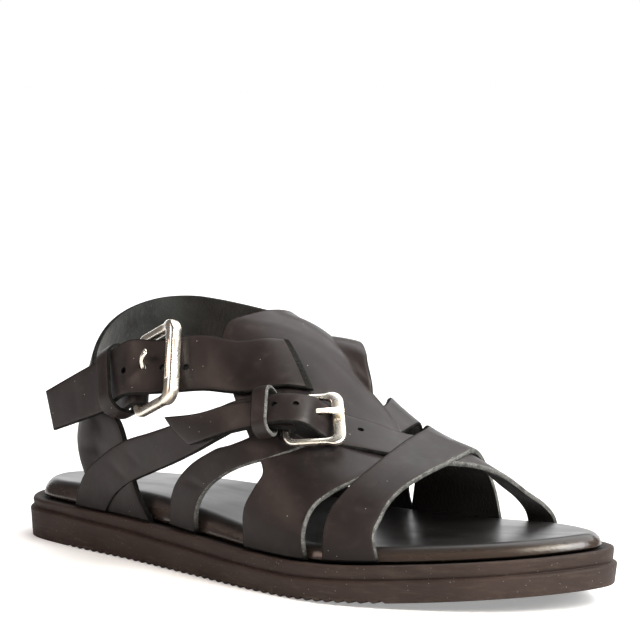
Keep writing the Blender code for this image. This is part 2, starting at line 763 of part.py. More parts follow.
def build_keeper(name, keeper, collection):
    """Keeper loop: a rounded band round both straps, thickened by Solidify."""
    ahead, across, out = axes_of(keeper)
    corner = 0.4 * keeper.depth
    points, faces = [], []
    ring = []
    for side_u, side_v, start in ((1, 1, 0.0), (-1, 1, 90.0), (-1, -1, 180.0), (1, -1, 270.0)):
        for step in range(4):
            angle = math.radians(start + 30.0 * step)
            u = side_u * (keeper.height / 2.0 - corner) + corner * math.cos(angle)
            v = side_v * (keeper.depth / 2.0 - corner) + corner * math.sin(angle)
            ring.append((u, v))
    for end in (-0.5, 0.5):
        for u, v in ring:
            points.append(np.asarray(keeper.middle) + ahead * end * keeper.length + across * u + out * v)
    count = len(ring)
    for index in range(count):
        after = (index + 1) % count
        faces.append([index, after, count + after, count + index])
    thing = new_object(name, points, faces, collection)
    shape = bmesh.new()
    shape.from_mesh(thing.data)
    bmesh.ops.recalc_face_normals(shape, faces=shape.faces)
    shape.to_mesh(thing.data)
    shape.free()
    wall = thing.modifiers.new("wall", "SOLIDIFY")
    wall.thickness = KEEPER_WALL * METRE
    wall.offset = 1.0
    return thing


def prong_path(buckle, rows):
    """Middle line of a prong."""
    ahead, across, out = axes_of(buckle)
    return [np.asarray(buckle.hinge) + ahead * row.ahead + out * row.out + across * row.across for row in rows]


def slot_cutter(name, buckle, slot, collection):
    """Box that clears the way for a prong."""
    ahead, across, out = axes_of(buckle)
    middle = (np.asarray(buckle.hinge) + ahead * 0.5 * (slot.ahead_from + slot.ahead_to)
              + out * 0.5 * (slot.out_from + slot.out_to))
    bpy.ops.mesh.primitive_cube_add(size=1.0)
    thing = bpy.context.object
    thing.name = name
    for owner in list(thing.users_collection):
        owner.objects.unlink(thing)
    collection.objects.link(thing)
    size = (slot.ahead_to - slot.ahead_from, SLOT_WIDTH, slot.out_to - slot.out_from)
    shape = Matrix.Diagonal(Vector(size) * METRE).to_4x4()
    side = np.cross(out, ahead)
    thing.matrix_world = frame_box(middle, ahead, side, out) @ shape
    return thing


def paint(thing, name, colour, rough, metal=0.0):
    """Own Principled material of a sub-part."""
    material = bpy.data.materials.new(name)
    material.use_nodes = True
    shader = material.node_tree.nodes["Principled BSDF"]
    shader.inputs["Base Color"].default_value = (*colour, 1.0)
    shader.inputs["Roughness"].default_value = rough
    shader.inputs["Metallic"].default_value = metal
    thing.data.materials.clear()
    thing.data.materials.append(material)


def build_upper(collection, cutters):
    """Upper: every sewn strap, joined where the straps cross."""
    upper = strap("upper", foot_lines(VAMP), collection)
    band_end = fold_lines(ANKLE_BUCKLE, BAND_END_WIDTH)[::-1]
    band = np.concatenate([band_end, heel_lines(BAND), side_lines(BAND_ON_FOOT, on_medial)])
    base = np.concatenate([side_lines(BASE, on_side), fold_lines(INSTEP_BUCKLE, BASE_END_WIDTH)])
    instep_strap = strap("instep_strap", foot_lines(INSTEP), cutters)
    heel_band = strap("heel_band", band, cutters)
    base_strap = strap("base_strap", base, cutters)
    cut(instep_strap, slot_cutter("instep_strap_slot", INSTEP_BUCKLE, INSTEP_STRAP_SLOT, cutters))
    cut(heel_band, slot_cutter("ankle_fold_slot", ANKLE_BUCKLE, ANKLE_FOLD_SLOT, cutters))
    cut(base_strap, slot_cutter("instep_fold_slot", INSTEP_BUCKLE, INSTEP_FOLD_SLOT, cutters))
    straps = [
        strap("inner_rear_strap", foot_lines(INNER_REAR), cutters),
        strap("inner_fore_strap", foot_lines(INNER_FORE), cutters),
        strap("low_front_strap", foot_lines(LOW_FRONT), cutters),
        instep_strap,
        strap("front_strap", foot_lines(FRONT), cutters),
        heel_band,
        strap("heel_leg", heel_lines(LEG), cutters),
        base_strap,
    ]
    for piece in straps:
        join(upper, piece)
    return upper


def clear_scene():
    """Starts from an empty scene."""
    for thing in list(bpy.data.objects):
        bpy.data.objects.remove(thing)


def main():
    """Builds every sub-part."""
    clear_scene()
    scene = bpy.context.scene
    collection = bpy.data.collections.new("buckle_sandal")
    cutters = bpy.data.collections.new("cutters")
    scene.collection.children.link(collection)
    scene.collection.children.link(cutters)
    outsole = build_outsole(collection, cutters)
    insole = build_insole(collection)
    upper = build_upper(collection, cutters)
    ankle_lines = np.concatenate([foot_lines(ANKLE_ON_FOOT), side_lines(ANKLE_ON_SIDE, on_side)])
    ankle = strap("ankle_strap", ankle_lines, collection)
    cut(ankle, slot_cutter("ankle_strap_slot", ANKLE_BUCKLE, ANKLE_STRAP_SLOT, cutters))
    ankle_prong = tube("ankle_buckle_prong", through(prong_path(ANKLE_BUCKLE, ANKLE_PRONG), 2),
                       PRONG_RADIUS, False, collection)
    instep_prong = tube("instep_buckle_prong", through(prong_path(INSTEP_BUCKLE, INSTEP_PRONG), 2),
                        PRONG_RADIUS, False, collection)
    ankle_frame = tube("ankle_buckle_frame", frame_path(ANKLE_BUCKLE), ANKLE_BUCKLE.wire, True, collection)
    roller = build_roller(ANKLE_BUCKLE, collection)
    ankle_keeper = build_keeper("ankle_keeper", ANKLE_KEEPER, collection)
    instep_keeper = build_keeper("instep_keeper", INSTEP_KEEPER, collection)
    instep_frame = tube("instep_buckle_frame", frame_path(INSTEP_BUCKLE), INSTEP_BUCKLE.wire, True, collection)
    paint(outsole, "outsole_rubber", (0.045, 0.033, 0.03), 0.7)
    paint(insole, "insole_leather", (0.02, 0.018, 0.018), 0.5)
    paint(upper, "upper_leather", (0.03, 0.024, 0.022), 0.45)
    paint(ankle, "ankle_strap_leather", (0.03, 0.024, 0.022), 0.45)
    paint(ankle_keeper, "ankle_keeper_leather", (0.03, 0.024, 0.022), 0.45)
    paint(instep_keeper, "instep_keeper_leather", (0.03, 0.024, 0.022), 0.45)
    paint(ankle_frame, "ankle_frame_metal", (0.85, 0.74, 0.58), 0.25, 1.0)
    paint(ankle_prong, "ankle_prong_metal", (0.85, 0.74, 0.58), 0.25, 1.0)
    paint(instep_prong, "instep_prong_metal", (0.85, 0.74, 0.58), 0.25, 1.0)
    paint(roller, "ankle_roller_metal", (0.85, 0.74, 0.58), 0.25, 1.0)
    paint(instep_frame, "instep_frame_metal", (0.85, 0.74, 0.58), 0.25, 1.0)
    for thing in cutters.objects:
        thing.hide_render = True
        thing.display_type = "WIRE"


main()
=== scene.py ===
"""Looks of a right-foot buckle sandal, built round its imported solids.

Tables are in millimetres, from the heel's back: x runs to the toe, minus y is the lateral side and z is up.
Every strap is a strip of leather on the last's charts: a smooth sheet of inner points, thickened outwards and
rounded at its edges.
"""
import math
from collections import namedtuple

import bmesh
import bpy
import numpy as np
from mathutils import Matrix, Vector


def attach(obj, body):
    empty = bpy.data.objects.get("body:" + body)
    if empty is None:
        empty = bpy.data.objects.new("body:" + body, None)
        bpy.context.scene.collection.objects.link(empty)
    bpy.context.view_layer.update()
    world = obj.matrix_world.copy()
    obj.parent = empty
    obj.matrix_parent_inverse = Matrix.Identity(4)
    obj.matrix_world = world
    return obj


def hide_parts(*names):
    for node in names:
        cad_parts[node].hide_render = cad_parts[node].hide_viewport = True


bl_info = {
    "name": "Buckle sandal",
    "version": (1, 0, 0),
    "blender": (4, 5, 0),
    "location": "View3D > Sidebar > Sandal",
    "description": "Builds the leather, rubber and metal pieces of a buckle sandal round its solids",
    "category": "Add Mesh",
}

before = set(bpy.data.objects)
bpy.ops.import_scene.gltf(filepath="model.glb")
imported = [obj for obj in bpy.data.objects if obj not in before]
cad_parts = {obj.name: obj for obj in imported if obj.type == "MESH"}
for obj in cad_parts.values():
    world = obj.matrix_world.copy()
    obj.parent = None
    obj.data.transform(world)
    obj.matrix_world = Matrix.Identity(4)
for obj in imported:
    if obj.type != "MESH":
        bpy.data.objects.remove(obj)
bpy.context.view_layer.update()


def rows_of(kind, *rows):
    """Rows of a table under the names of its columns."""
    return [kind(*row) for row in rows]


# Sizes of the whole shoe, mm
LENGTH = 274.0
HEEL_PAD_X = 30.0
METRE = 0.001
GAP = 0.3
LEATHER = 2.0
SEAT_GAP = 0.6
BAND_END_WIDTH = 23.0
BASE_END_WIDTH = 11.0

# Outsole sizes, mm
WALL_HEEL = 12.0
WALL_FORE = 8.0
STEP_HEEL = 3.5
STEP_FORE = 5.2
TOE_SPRING = 8.0
SPRING_START = 170.0
SPRING_POWER = 1.6
FALL_START = 25.0
FALL_RUN = 165.0
STEP_START = 10.0
STEP_RUN = 110.0
LEDGE = 4.5
# Ribs under the sole, mm: half width and depth of a notch, and how far its foot lies below the floor
RIB_FIRST = 43.0
RIB_LAST = 219.0
RIB_PITCH = 4.4
RIB_REACH = 70.0
NOTCH_HALF = 2.15
NOTCH_DEPTH = 1.25
NOTCH_FOOT = 0.2
# Side of the outsole from the floor up, with its edges rounded: inset, level, rise above that level
Wall = namedtuple("Wall", "inset level rise")
SOLE_SIDE = rows_of(
    Wall,
    (1.1, "bottom", 0), (0.85, "bottom", 0.15), (0.75, "bottom", 0.5), (0.1, "groove", -1.9),
    (0, "groove", -1.2), (0.15, "groove", -0.75), (0.6, "groove", -0.35), (1.75, "groove", -0.1),
    (1.9, "groove", 0.15), (1.6, "groove", 0.5), (1.4, "groove", 1), (1.15, "ledge", -1.2),
    (1.2, "ledge", -0.6), (1.45, "ledge", -0.2), (2, "ledge", 0), (2.8, "ledge", 0), (3.6, "ledge", -0.05),
    (4.6, "ledge", -0.2), (6.4, "ledge", -0.2),
)
# Painted shade in the seam round the insole: inset where it begins and how far it takes to be full, mm
SEAM_FROM = 2.8
SEAM_RUN = 2.4

# Insole sizes, mm
RIM_HEEL = 7.0
RIM_WAIST = 2.5
RIM_FORE = 1.2
SIDE_CLEAR = 1.1
WAIST_X = 85.0
WAIST_RUN = 45.0
FORE_START = 110.0
FORE_RUN = 60.0
# Rings of the insole's top, and how far they reach in to the middle line, as a share
INSOLE_RINGS = 14
INSOLE_REACH = 0.96
# Round rim of the insole from the bottom up: inset from its side, share of the rim's height
Rim = namedtuple("Rim", "inset share")
INSOLE_RIM = rows_of(
    Rim,
    (0.9, 0), (0.3, 0.05), (0, 0.14), (0.15, 0.28), (0.5, 0.44), (1, 0.6), (1.7, 0.75), (2.5, 0.87),
    (3.4, 0.95), (4.6, 1),
)

# Outline of the outsole: heel's back, lateral side, toe, and back along the medial side
Plan = namedtuple("Plan", "x y")
LATERAL = rows_of(
    Plan,
    (0, 0), (12, -22), (40, -30.5), (80, -36), (120, -43), (160, -50), (195, -51), (230, -38), (258, -19.5),
    (270, -4), (274, 9),
)
MEDIAL = rows_of(
    Plan,
    (269.5, 20.5), (258, 31.5), (235, 44.5), (200, 50), (165, 48), (120, 35.5), (80, 28.5), (40, 29),
    (12, 21),
)

# Top line of the last: x, ridge y, ridge z, fullness of the arch
Ridge = namedtuple("Ridge", "x y z full")
RIDGE = rows_of(
    Ridge,
    (0, 0, 150, 4), (60, 0, 150, 4), (95, -2, 122, 3), (112, -3, 103, 2.4), (125, -3, 94, 2.2),
    (138, 0, 89, 2.1), (152, 4, 79, 2), (166, 9, 63, 2), (182, 13, 51, 2), (207, 18, 42, 2),
    (232, 20, 34, 2.1), (262, 20, 26, 2.2),
)

# Heel of the last by height: back x, lateral y at the widest line and HEEL_FORE ahead of it, medial y
Heel = namedtuple("Heel", "z back lateral fore medial")
# x of the widest line, mm ahead of it to the fore column and to one unit of place, height of the last's core
HEEL_LINE = 58.0
HEEL_FORE = 30.0
HEEL_REACH = 100.0
LAST_CORE_Z = 12.0
HEEL = rows_of(
    Heel,
    (16, 14, -27.8, -33.2, 25), (40, 28.5, -26.5, -34, 25), (55, 34, -25.5, -34, 26),
    (70, 39, -23, -33.5, 27), (85, 42, -19, -32, 27), (97, 43, -17, -31, 27),
)

# Straps on the foot: rear x and turn, front x and turn, lift of the inner face, extra lift at the front edge
# Turn is 0 at the lateral seat, 90 on the ridge and 180 at the medial seat, and is held within TURN_ENDS
TURN_ENDS = (0.1, 179.9)
Foot = namedtuple("Foot", "rear_x rear_turn front_x front_turn lift tilt", defaults=[0.0])
VAMP = rows_of(
    Foot,
    (151, 0, 183.5, 0, 0), (150, 12, 180.8, 15, 0), (154, 21, 181, 27, 0.2), (156, 27, 184.3, 37, 0.7),
    (147, 33, 188.6, 46.5, 1.2), (138, 39, 191.5, 61, 1.2), (130, 46, 187, 76, 1.2),
    (124, 52, 178, 86, 1.2), (120, 58, 168, 90, 1.2), (119, 66, 161, 90, 1.2), (122, 74, 155, 92, 1.4),
    (125, 86, 149, 97, 1.8, -1), (124.5, 100, 143, 106, 1.5, -0.9), (119, 116, 137, 118, 2, -0.4),
    (112, 130, 132, 132, 2.2),
)
FRONT = rows_of(
    Foot,
    (191, 0, 212, 0, 0), (189, 18, 208, 20, 0), (188, 29, 207, 31, 0.5), (189, 38, 206, 41, 1.6),
    (190, 48, 206, 50, 2.6), (190, 62, 207, 62, 3.8), (188, 73, 206.5, 74, 3.8), (186, 82, 204.5, 86, 3.8),
    (183, 94, 202, 98, 3.6), (178, 108, 200, 112, 2.6), (170.5, 126, 198, 128, 1.2),
    (163, 150, 197, 152, 0.2), (156.5, 180, 198, 180, 0),
)
INSTEP = rows_of(
    Foot,
    (212, 180, 226, 180, 0), (211, 163, 225, 163, -0.1), (209.5, 148, 223.5, 147, -1.4),
    (206.5, 130, 221, 126, -2.6), (200, 112, 215, 104, -0.6), (194, 98, 210, 86, 1.8),
    (188, 89, 203, 74, 2.8), (183, 83, 193, 68, 2.8), (175, 77, 182, 62, 2.8), (167, 69, 173, 55.5, 2.6),
    (163, 63, 168, 51.5, 6.4), (158, 56, 163, 47.5, 11.8), (153, 50, 158, 43, 12), (148, 44, 151, 36, 10.6),
    (140, 39, 143, 31, 9.2), (126, 32, 133, 26, 7.4), (107, 21, 123, 22, 6),
)
LOW_FRONT = rows_of(
    Foot,
    (105.5, 0, 121.5, 0, 0), (106, 3.3, 121.7, 4.2, 0), (108, 6.2, 123.5, 7.4, 0),
    (112, 10.2, 128.2, 12, 0), (118, 15.2, 135.5, 16.8, 0.1), (125, 20, 143.5, 22, 0.4),
    (133, 24.6, 151, 27.2, 0.9), (141.5, 29, 158, 33.6, 1.5), (149.5, 36, 163.5, 41.5, 2),
    (156, 45, 168, 50, 2),
)
INNER_REAR = rows_of(
    Foot,
    (150, 80, 171, 80, -0.6), (146, 90, 166, 89.5, -0.8, 1.2), (144, 95, 161.5, 94.5, -1, 4.5),
    (141, 101, 155, 100, -1.2, 7.5), (136, 113, 147.5, 112, -0.8, 7), (128, 130, 142, 130, 0, 4),
    (116, 150, 136.5, 150, 0, 0.5), (107, 166, 132.5, 166, 0), (103, 180, 131, 180, 0),
)
INNER_FORE = rows_of(
    Foot,
    (170, 80, 181, 80, 0), (167, 97, 178, 97, 0, 0.8), (162, 113, 174, 113, 0, 1),
    (156, 131, 169, 131, 0, 0.5), (148, 150, 164.5, 150, 0), (142, 166, 156.5, 166, 0),
    (138, 180, 158.5, 180, 0),
)
ANKLE_ON_FOOT = rows_of(
    Foot,
    (142, 73, 157, 64, 3.8), (136, 67, 150, 55, 3.8), (128, 61, 139, 44, 3.8),
)

# Straps on the side of the foot: upper x and z, lower x and z, lifts of the two edges
Side = namedtuple("Side", "top_x top_z low_x low_z top_lift low_lift")
BASE = rows_of(
    Side,
    (45, 16.2, 65, 16.2, 0.2, 0.2), (47, 22, 68, 20.5, 0.3, 0.3), (52, 30, 73, 25, 0.5, 0.5),
    (63, 38, 82, 30, 0.9, 0.9), (78, 45.5, 95, 35, 1.3, 1.3), (95, 50.5, 110, 40.5, 2, 2),
    (112, 55.5, 124, 46, 3.6, 3.2), (131, 60.6, 138, 51.5, 5.8, 5.4), (144, 63.6, 148, 54.6, 7.8, 7.8),
)
ANKLE_ON_SIDE = rows_of(
    Side,
    (114, 86.2, 122, 67, 3.8, 4.6), (104, 85.6, 109, 65.8, 4.2, 6.4), (97, 84.4, 101, 65, 5.4, 9.4),
    (89, 84.5, 92, 64.3, 7.8, 11.4), (80, 81.5, 83, 61.5, 7.2, 9.8), (69, 76.5, 72, 56.5, 5.4, 5.8),
    (52, 68.5, 56, 51, 6.4, 6.4), (36, 61, 41, 46, 7.8, 7.4),
)
BAND_ON_FOOT = rows_of(
    Side,
    (120, 87, 119, 68, 0, 0), (129, 83.5, 128, 67, 0, 0),
)

# Heel band and its leg: places round the heel (0 at the back, 1 at the lateral line, -1 at the medial line)
Round = namedtuple("Round", "low_place low_z top_place top_z lift")
BAND = rows_of(
    Round,
    (1.16, 54.5, 1.08, 73, 1.8), (0.94, 53, 0.9, 69.5, 1.2), (0.65, 52, 0.62, 75, 1.2),
    (0.35, 51.5, 0.33, 84, 1.2), (0, 52, 0, 90.5, 1), (-0.4, 54.5, -0.4, 94.5, 0.6),
    (-0.8, 59, -0.8, 95.5, 0.2), (-1.1, 65, -1.1, 95, 0), (-1.35, 68, -1.35, 92.5, 0),
    (-1.5, 69, -1.5, 90.5, 0),
)
LEG = rows_of(
    Round,
    (1.02, 16.2, 1.36, 16.2, 0), (0.95, 22, 1.29, 24, 0), (0.86, 28.5, 1.24, 33, 0), (0.76, 34, 1.2, 43, 0),
    (0.63, 40, 1.14, 52, 0), (0.48, 46, 0.96, 59.5, 0), (0.3, 50.5, 0.62, 65, 0), (0.1, 53, 0.28, 68, 0),
    (-0.1, 54.5, 0, 69.5, 0),
)

# Buckles: middle of the hinge bar, way to the outer bar, way up the bar, sizes over the wire's middle
Buckle = namedtuple("Buckle", "hinge ahead across length width wire corner")
ANKLE_BUCKLE = Buckle((88.5, -36.2, 70.5), (22.3, -4.6, 9.3), (-9.0, 11.0, 26.5), 24.0, 29.0, 1.5, 3.5)
INSTEP_BUCKLE = Buckle((160.3, -33.7, 60.4), (13.6, 13.4, 0.9), (-7.0, 9.0, 11.5), 19.5, 20.0, 1.2, 3.0)
# Strap ends round a hinge bar: rows of the half circle, and the straight length beneath the bar, mm
FOLD_ROWS = 5
FOLD_BACK = 2.0
# Buckle bars, mm: half width and half thickness of the arms, and of the outer bar
Bar = namedtuple("Bar", "arm_half arm_thick outer_half outer_thick")
ANKLE_BAR = Bar(1.9, 1.6, 2.6, 2.5)
INSTEP_BAR = Bar(1.1, 1.0, 2.3, 1.2)
# Outer bar: share of the frame's length where the arms begin to widen, and how far they take
OUTER_FROM = 0.72
OUTER_RUN = 0.26
# Roller, mm: its end is rounded by rows of way in from the end and way in from the outer radius
ROLLER_LENGTH = 15.5
ROLLER_RADIUS = 2.85
ROLLER_WALL = 0.7
ROLLER_END = ((0.0, ROLLER_WALL), (0.0, 0.25), (0.1, 0.07), (0.3, 0.0))
# Keeper loops: middle, way along the strap, way up across it, clear depth and height, length along it
Keeper = namedtuple("Keeper", "middle ahead across depth height length")
ANKLE_KEEPER = Keeper((77.0, -35.2, 68.4), (24.0, -2.5, 11.0), (-9.5, 8.0, 22.6), 14.0, 25.4, 8.0)
INSTEP_KEEPER = Keeper((155.4, -39.2, 63.9), (9.3, 3.4, 2.2), (-4.0, 6.2, 10.0), 8.6, 16.8, 6.4)
KEEPER_WALL = 1.5
KEEPER_CORNER = 0.4
# Prongs as they lie through the straps, seen from the hinge bar's middle: way ahead, way out, way across
Prong = namedtuple("Prong", "ahead out across")
ANKLE_TONGUE = rows_of(
    Prong,
    (-1, 2.9, 0), (3.5, 2.6, 0), (7.5, 2.9, 0.1), (10.2, 4.7, 0.7), (11.6, 6, 2.4), (13.6, 6.7, 3.8),
    (15.6, 6.6, 5),
)
INSTEP_TONGUE = rows_of(
    Prong,
    (-0.8, 2.6, 0), (4, 3, 0.2), (11, 3.8, 0.8), (18.5, 3.2, 1.3), (21.8, 2.8, 1.5),
)
# Prong's wire, mm, and its tip: share of the length where it begins, run, widening of each prong, thinning
PRONG_RADIUS = 1.0
TIP_FROM = 0.5
TIP_RUN = 0.45
ANKLE_TIP = 1.6
INSTEP_TIP = 1.7
TIP_THIN = 0.25
# Ends of a prong: power of the closing curve, and what is left of the section at the very end, squared
CLOSING_POWER = 16
CLOSING_LEAST = 0.02

# Fineness of the scene's meshes, and the angles in degrees beyond which an edge stays sharp
STATIONS = 42
FINE_STATIONS = 190
OUTLINE_STEPS = 24
TABLE_STEPS = 12
SHEET_COLUMNS = 25
ROW_STEPS = 14
STRIP_COLUMNS = 16
FRAME_STATIONS = 160
FRAME_SIDES = 24
KEEPER_STATIONS = 120
CORNER_STEPS = 9
PRONG_STEPS = 10
PRONG_SIDES = 20
ROLLER_SIDES = 40
PEG_SIDES = 20
SHARP_ANGLE = 52.0
RUBBER_SHARP = 38.0
# Powers of the sections of frames and prongs, where 2 is an ellipse
FRAME_POWER = 3.6
PRONG_POWER = 2.2
# Step for the rates of a chart, and a length too small to matter
CHART_STEP = 0.02
TINY = 1e-12

# Leather edges, mm: slow fall towards a cut edge, reach of its paler rim, share of the rounding that is raw
EDGE_FALL = 0.22
EDGE_FALL_RUN = 1.6
RIM_FADE = 1.3
CUT_SHARE = 0.8
# Height over which the painted shade above the sole's ledge fades, and how far a hole's peg stands out, mm
SEAT_SHADE = 6.2
PEG_REACH = 1.2
# Columns of points at a cut edge as shares of its rounding, and how far the inner edge follows the outer one
EDGE_COLUMNS = np.array([0.0, 0.08, 0.35, 1.0])
INNER_FOLLOWS = 0.3
# Numbers of a strip's finishes
GRAIN = 0
CUT = 1
FLESH = 2
# Place along the shoe, mm, from which a strap's front edge shows pale raw fibres
PALE_FROM = {"vamp_strap": 100.0, "front_strap": 100.0, "instep_strap": 192.0, "low_front_strap": 114.0,
             "instep_loop": 100.0}
NEVER_PALE = 999.0
PALE_RUN = 12.0
# Ends cut on a slant, mm: how far in the slant begins at a strap's first end
SLANT_END = {"ankle_billet": 2.6}
# Soft creases of a strap: place along and across as shares, turn from its run, length, width and depth in mm
Crease = namedtuple("Crease", "along across turn length width depth")
CREASES = {
    "vamp_strap": rows_of(
        Crease,
        (0.2, 0.3, 78, 16, 2.2, 0.35), (0.27, 0.55, 84, 20, 2.6, 0.3), (0.33, 0.78, 95, 14, 2.4, 0.35),
        (0.72, 0.4, 70, 15, 3, 0.25), (0.84, 0.6, 100, 14, 2.6, 0.3),
    ),
    "front_strap": rows_of(
        Crease,
        (0.16, 0.5, 86, 13, 2, 0.3), (0.45, 0.4, 80, 16, 3.2, 0.25), (0.62, 0.6, 98, 14, 2.6, 0.3),
    ),
    "instep_strap": rows_of(
        Crease,
        (0.16, 0.5, 88, 10, 2, 0.35), (0.6, 0.5, 84, 11, 2.4, -0.3), (0.8, 0.45, 95, 9, 2, 0.3),
    ),
    "base_strap": rows_of(
        Crease,
        (0.2, 0.45, 82, 14, 2.4, 0.35), (0.3, 0.55, 92, 12, 2.2, 0.25),
    ),
    "low_front_strap": rows_of(
        Crease,
        (0.28, 0.5, 86, 11, 2.2, 0.3),
    ),
    "heel_leg": rows_of(
        Crease,
        (0.3, 0.45, 90, 16, 2.6, 0.35), (0.42, 0.6, 80, 14, 2.4, 0.25),
    ),
    "heel_band": rows_of(
        Crease,
        (0.42, 0.5, 88, 26, 3.2, 0.35), (0.55, 0.6, 94, 24, 3, 0.3),
    ),
    "ankle_billet": rows_of(
        Crease,
        (0.52, 0.62, 35, 9, 1.8, 0.55), (0.49, 0.35, 90, 12, 3.2, -0.35), (0.86, 0.5, 88, 13, 2.2, 0.3),
        (0.28, 0.45, 94, 15, 2.8, 0.25),
    ),
}
# Punched holes: place along and across as shares, half length along the strap and half width, mm
Hole = namedtuple("Hole", "along across half_length half_width")
HOLES = {
    "ankle_billet": rows_of(
        Hole,
        (0.353, 0.58, 1.5, 1.25), (0.429, 0.54, 1.5, 1.25), (0.495, 0.5, 1.7, 1.35),
        (0.565, 0.54, 1.5, 1.25),
    ),
    "instep_strap": rows_of(
        Hole,
        (0.505, 0.38, 1.2, 1), (0.624, 0.42, 1.3, 1.1), (0.673, 0.38, 1.2, 1), (0.716, 0.38, 1.2, 1),
    ),
}

# Specks of dust: share of a speck's radius, and share of all specks, that show in full
SPECK_CORE = 0.6
SPECK_FULL = 0.9

# Stage, in metres: camera's aim and the pixel where it lands, picture and sensor width, lights and floor
AIM_POINT = (0.107, 0.0, 0.020)
AIM_PIXEL = (299.4, 512.9)
PICTURE = 640.0
SENSOR = 36.0
CLIP_NEAR = 0.05
CLIP_FAR = 50.0
Softbox = namedtuple("Softbox", "place size tint")
SOFTBOXES = {
    "key": Softbox((1.05, 0.08, 0.58), (0.6, 0.6), (1.0, 1.0, 1.0)),
    "side": Softbox((-0.75, -1.05, 0.75), (0.9, 0.6), (1.0, 0.74, 0.63)),
    "front": Softbox((0.52, -0.11, 0.33), (0.25, 0.25), (1.0, 0.90, 0.74)),
    "back": Softbox((-0.95, 1.15, 0.30), (2.0, 0.55), (1.0, 1.0, 1.0)),
}
SUN_WAY = (0.05, 0.53, 0.85)
SUN_SPREAD = 64.0
WHITE = (1.0, 1.0, 1.0, 1.0)
FLOOR_HALF = 6.0
FLOOR_GLOW = 0.33
FLOOR_DIM = 0.985


def through(rows, steps):
    """Smooth curve of steps points to each gap: cubic pieces whose tangents allow for uneven spacing."""
    rows = np.asarray(rows, float)
    step = np.diff(rows, axis=0)
    span = np.sqrt(np.linalg.norm(step, axis=-1, keepdims=True)) + TINY
    pace = step / span
    slope = np.concatenate([pace[:1], pace[:-1] + pace[1:], pace[-1:]])
    slope[1:-1] -= (rows[2:] - rows[:-2]) / (span[:-1] + span[1:])
    place = np.linspace(0.0, len(rows) - 1.0, steps * (len(rows) - 1) + 1)
    low = np.minimum(place.astype(int), len(rows) - 2)
    part = (place - low).reshape((-1,) + (1,) * (rows.ndim - 1))
    start = 2.0 * part**3 - 3.0 * part**2 + 1.0
    leave = (part**3 - 2.0 * part**2 + part) * span[low]
    reach = (part**3 - part**2) * span[low]
    return rows[low] * start + slope[low] * leave + rows[low + 1] * (1.0 - start) + slope[low + 1] * reach


def closed_curve(points, steps):
    """Closed smooth curve: the open curve through the points with its ends lapped over, less the laps."""
    return through(points[-1:] + points + points[:2], steps)[steps:-steps - 1]


def at_x(rows, x):
    """Columns of a table at x, smooth between its rows."""
    dense = through(rows, TABLE_STEPS)
    return [np.interp(x, dense[:, 0], column) for column in dense.T[1:]]


def ease(value):
    """Soft step from 0 to 1."""
    value = np.clip(value, 0.0, 1.0)
    return value * value * (3.0 - 2.0 * value)


def unit(vectors):
    """Vectors of length one."""
    vectors = np.asarray(vectors, float)
    return vectors / (np.linalg.norm(vectors, axis=-1, keepdims=True) + TINY)


def reach_of(line):
    """Length along a line up to each of its points."""
    return np.concatenate([[0.0], np.cumsum(np.linalg.norm(np.diff(line, axis=0), axis=1))])


def spaced(line, count, closed=False):
    """Points at even steps along a line, or round it where it is closed."""
    if closed:
        line = np.concatenate([line, line[:1]])
    reach = reach_of(line)
    place = np.linspace(0.0, reach[-1], count, endpoint=not closed)
    return np.stack([np.interp(place, reach, axis) for axis in line.T], axis=1)


def spring(x):
    """Rise of the bottom towards the toe."""
    return TOE_SPRING * np.clip((x - SPRING_START) / (LENGTH - SPRING_START), 0.0, 1.0) ** SPRING_POWER


def groove_z(x):
    """Height of the groove in the sole's side."""
    return WALL_HEEL - (WALL_HEEL - WALL_FORE) * ease((x - FALL_START) / FALL_RUN) + spring(x)


def ledge_z(x):
    """Height of the ledge round the insole."""
    return groove_z(x) + STEP_HEEL + (STEP_FORE - STEP_HEEL) * ease((x - STEP_START) / STEP_RUN)


def rim_z(x):
    """Height of the insole's rim."""
    waist = RIM_WAIST * np.exp(-(((x - WAIST_X) / WAIST_RUN) ** 2))
    return ledge_z(x) + RIM_HEEL + waist - RIM_FORE * ease((x - FORE_START) / FORE_RUN)


def outline_ring(inset, stations=FINE_STATIONS):
    """Closed ring of x, y: lateral side from heel to toe, medial side back, moved inwards by an inset."""
    curve = closed_curve(LATERAL + MEDIAL, OUTLINE_STEPS)
    toe = OUTLINE_STEPS * (len(LATERAL) - 1)
    lateral = spaced(curve[:toe + 1], stations)
    medial = spaced(np.concatenate([curve[toe:], curve[:1]]), stations)
    ring = np.concatenate([lateral, medial[1:-1]])
    along = unit(np.roll(ring, -1, axis=0) - np.roll(ring, 1, axis=0))
    inward = np.stack([-along[:, 1], along[:, 0]], axis=1)
    return ring + inward * inset


SEAT_RING = outline_ring(LEDGE, STATIONS)


def seat_y(x, medial):
    """y of the strap seats beside the insole."""
    half = SEAT_RING[STATIONS - 1:][::-1] if medial else SEAT_RING[:STATIONS]
    return np.interp(x, half[:, 0], half[:, 1])


def on_foot(x, turn):
    """Points of the last's arched sections: powers of cosine and sine between the seat and the ridge."""
    ridge_y, ridge_z, full = at_x(RIDGE, x)
    medial = turn > 90.0
    angle = np.radians(np.where(medial, 180.0 - turn, turn))
    base_y = np.where(medial, seat_y(x, True), seat_y(x, False))
    base_z = ledge_z(x) + SEAT_GAP
    out = np.maximum(np.cos(angle), 0.0) ** (2.0 / full)
    rise = np.maximum(np.sin(angle), 0.0) ** (2.0 / full)
    return np.stack([x, ridge_y + (base_y - ridge_y) * out, base_z + (ridge_z - base_z) * rise], axis=-1)


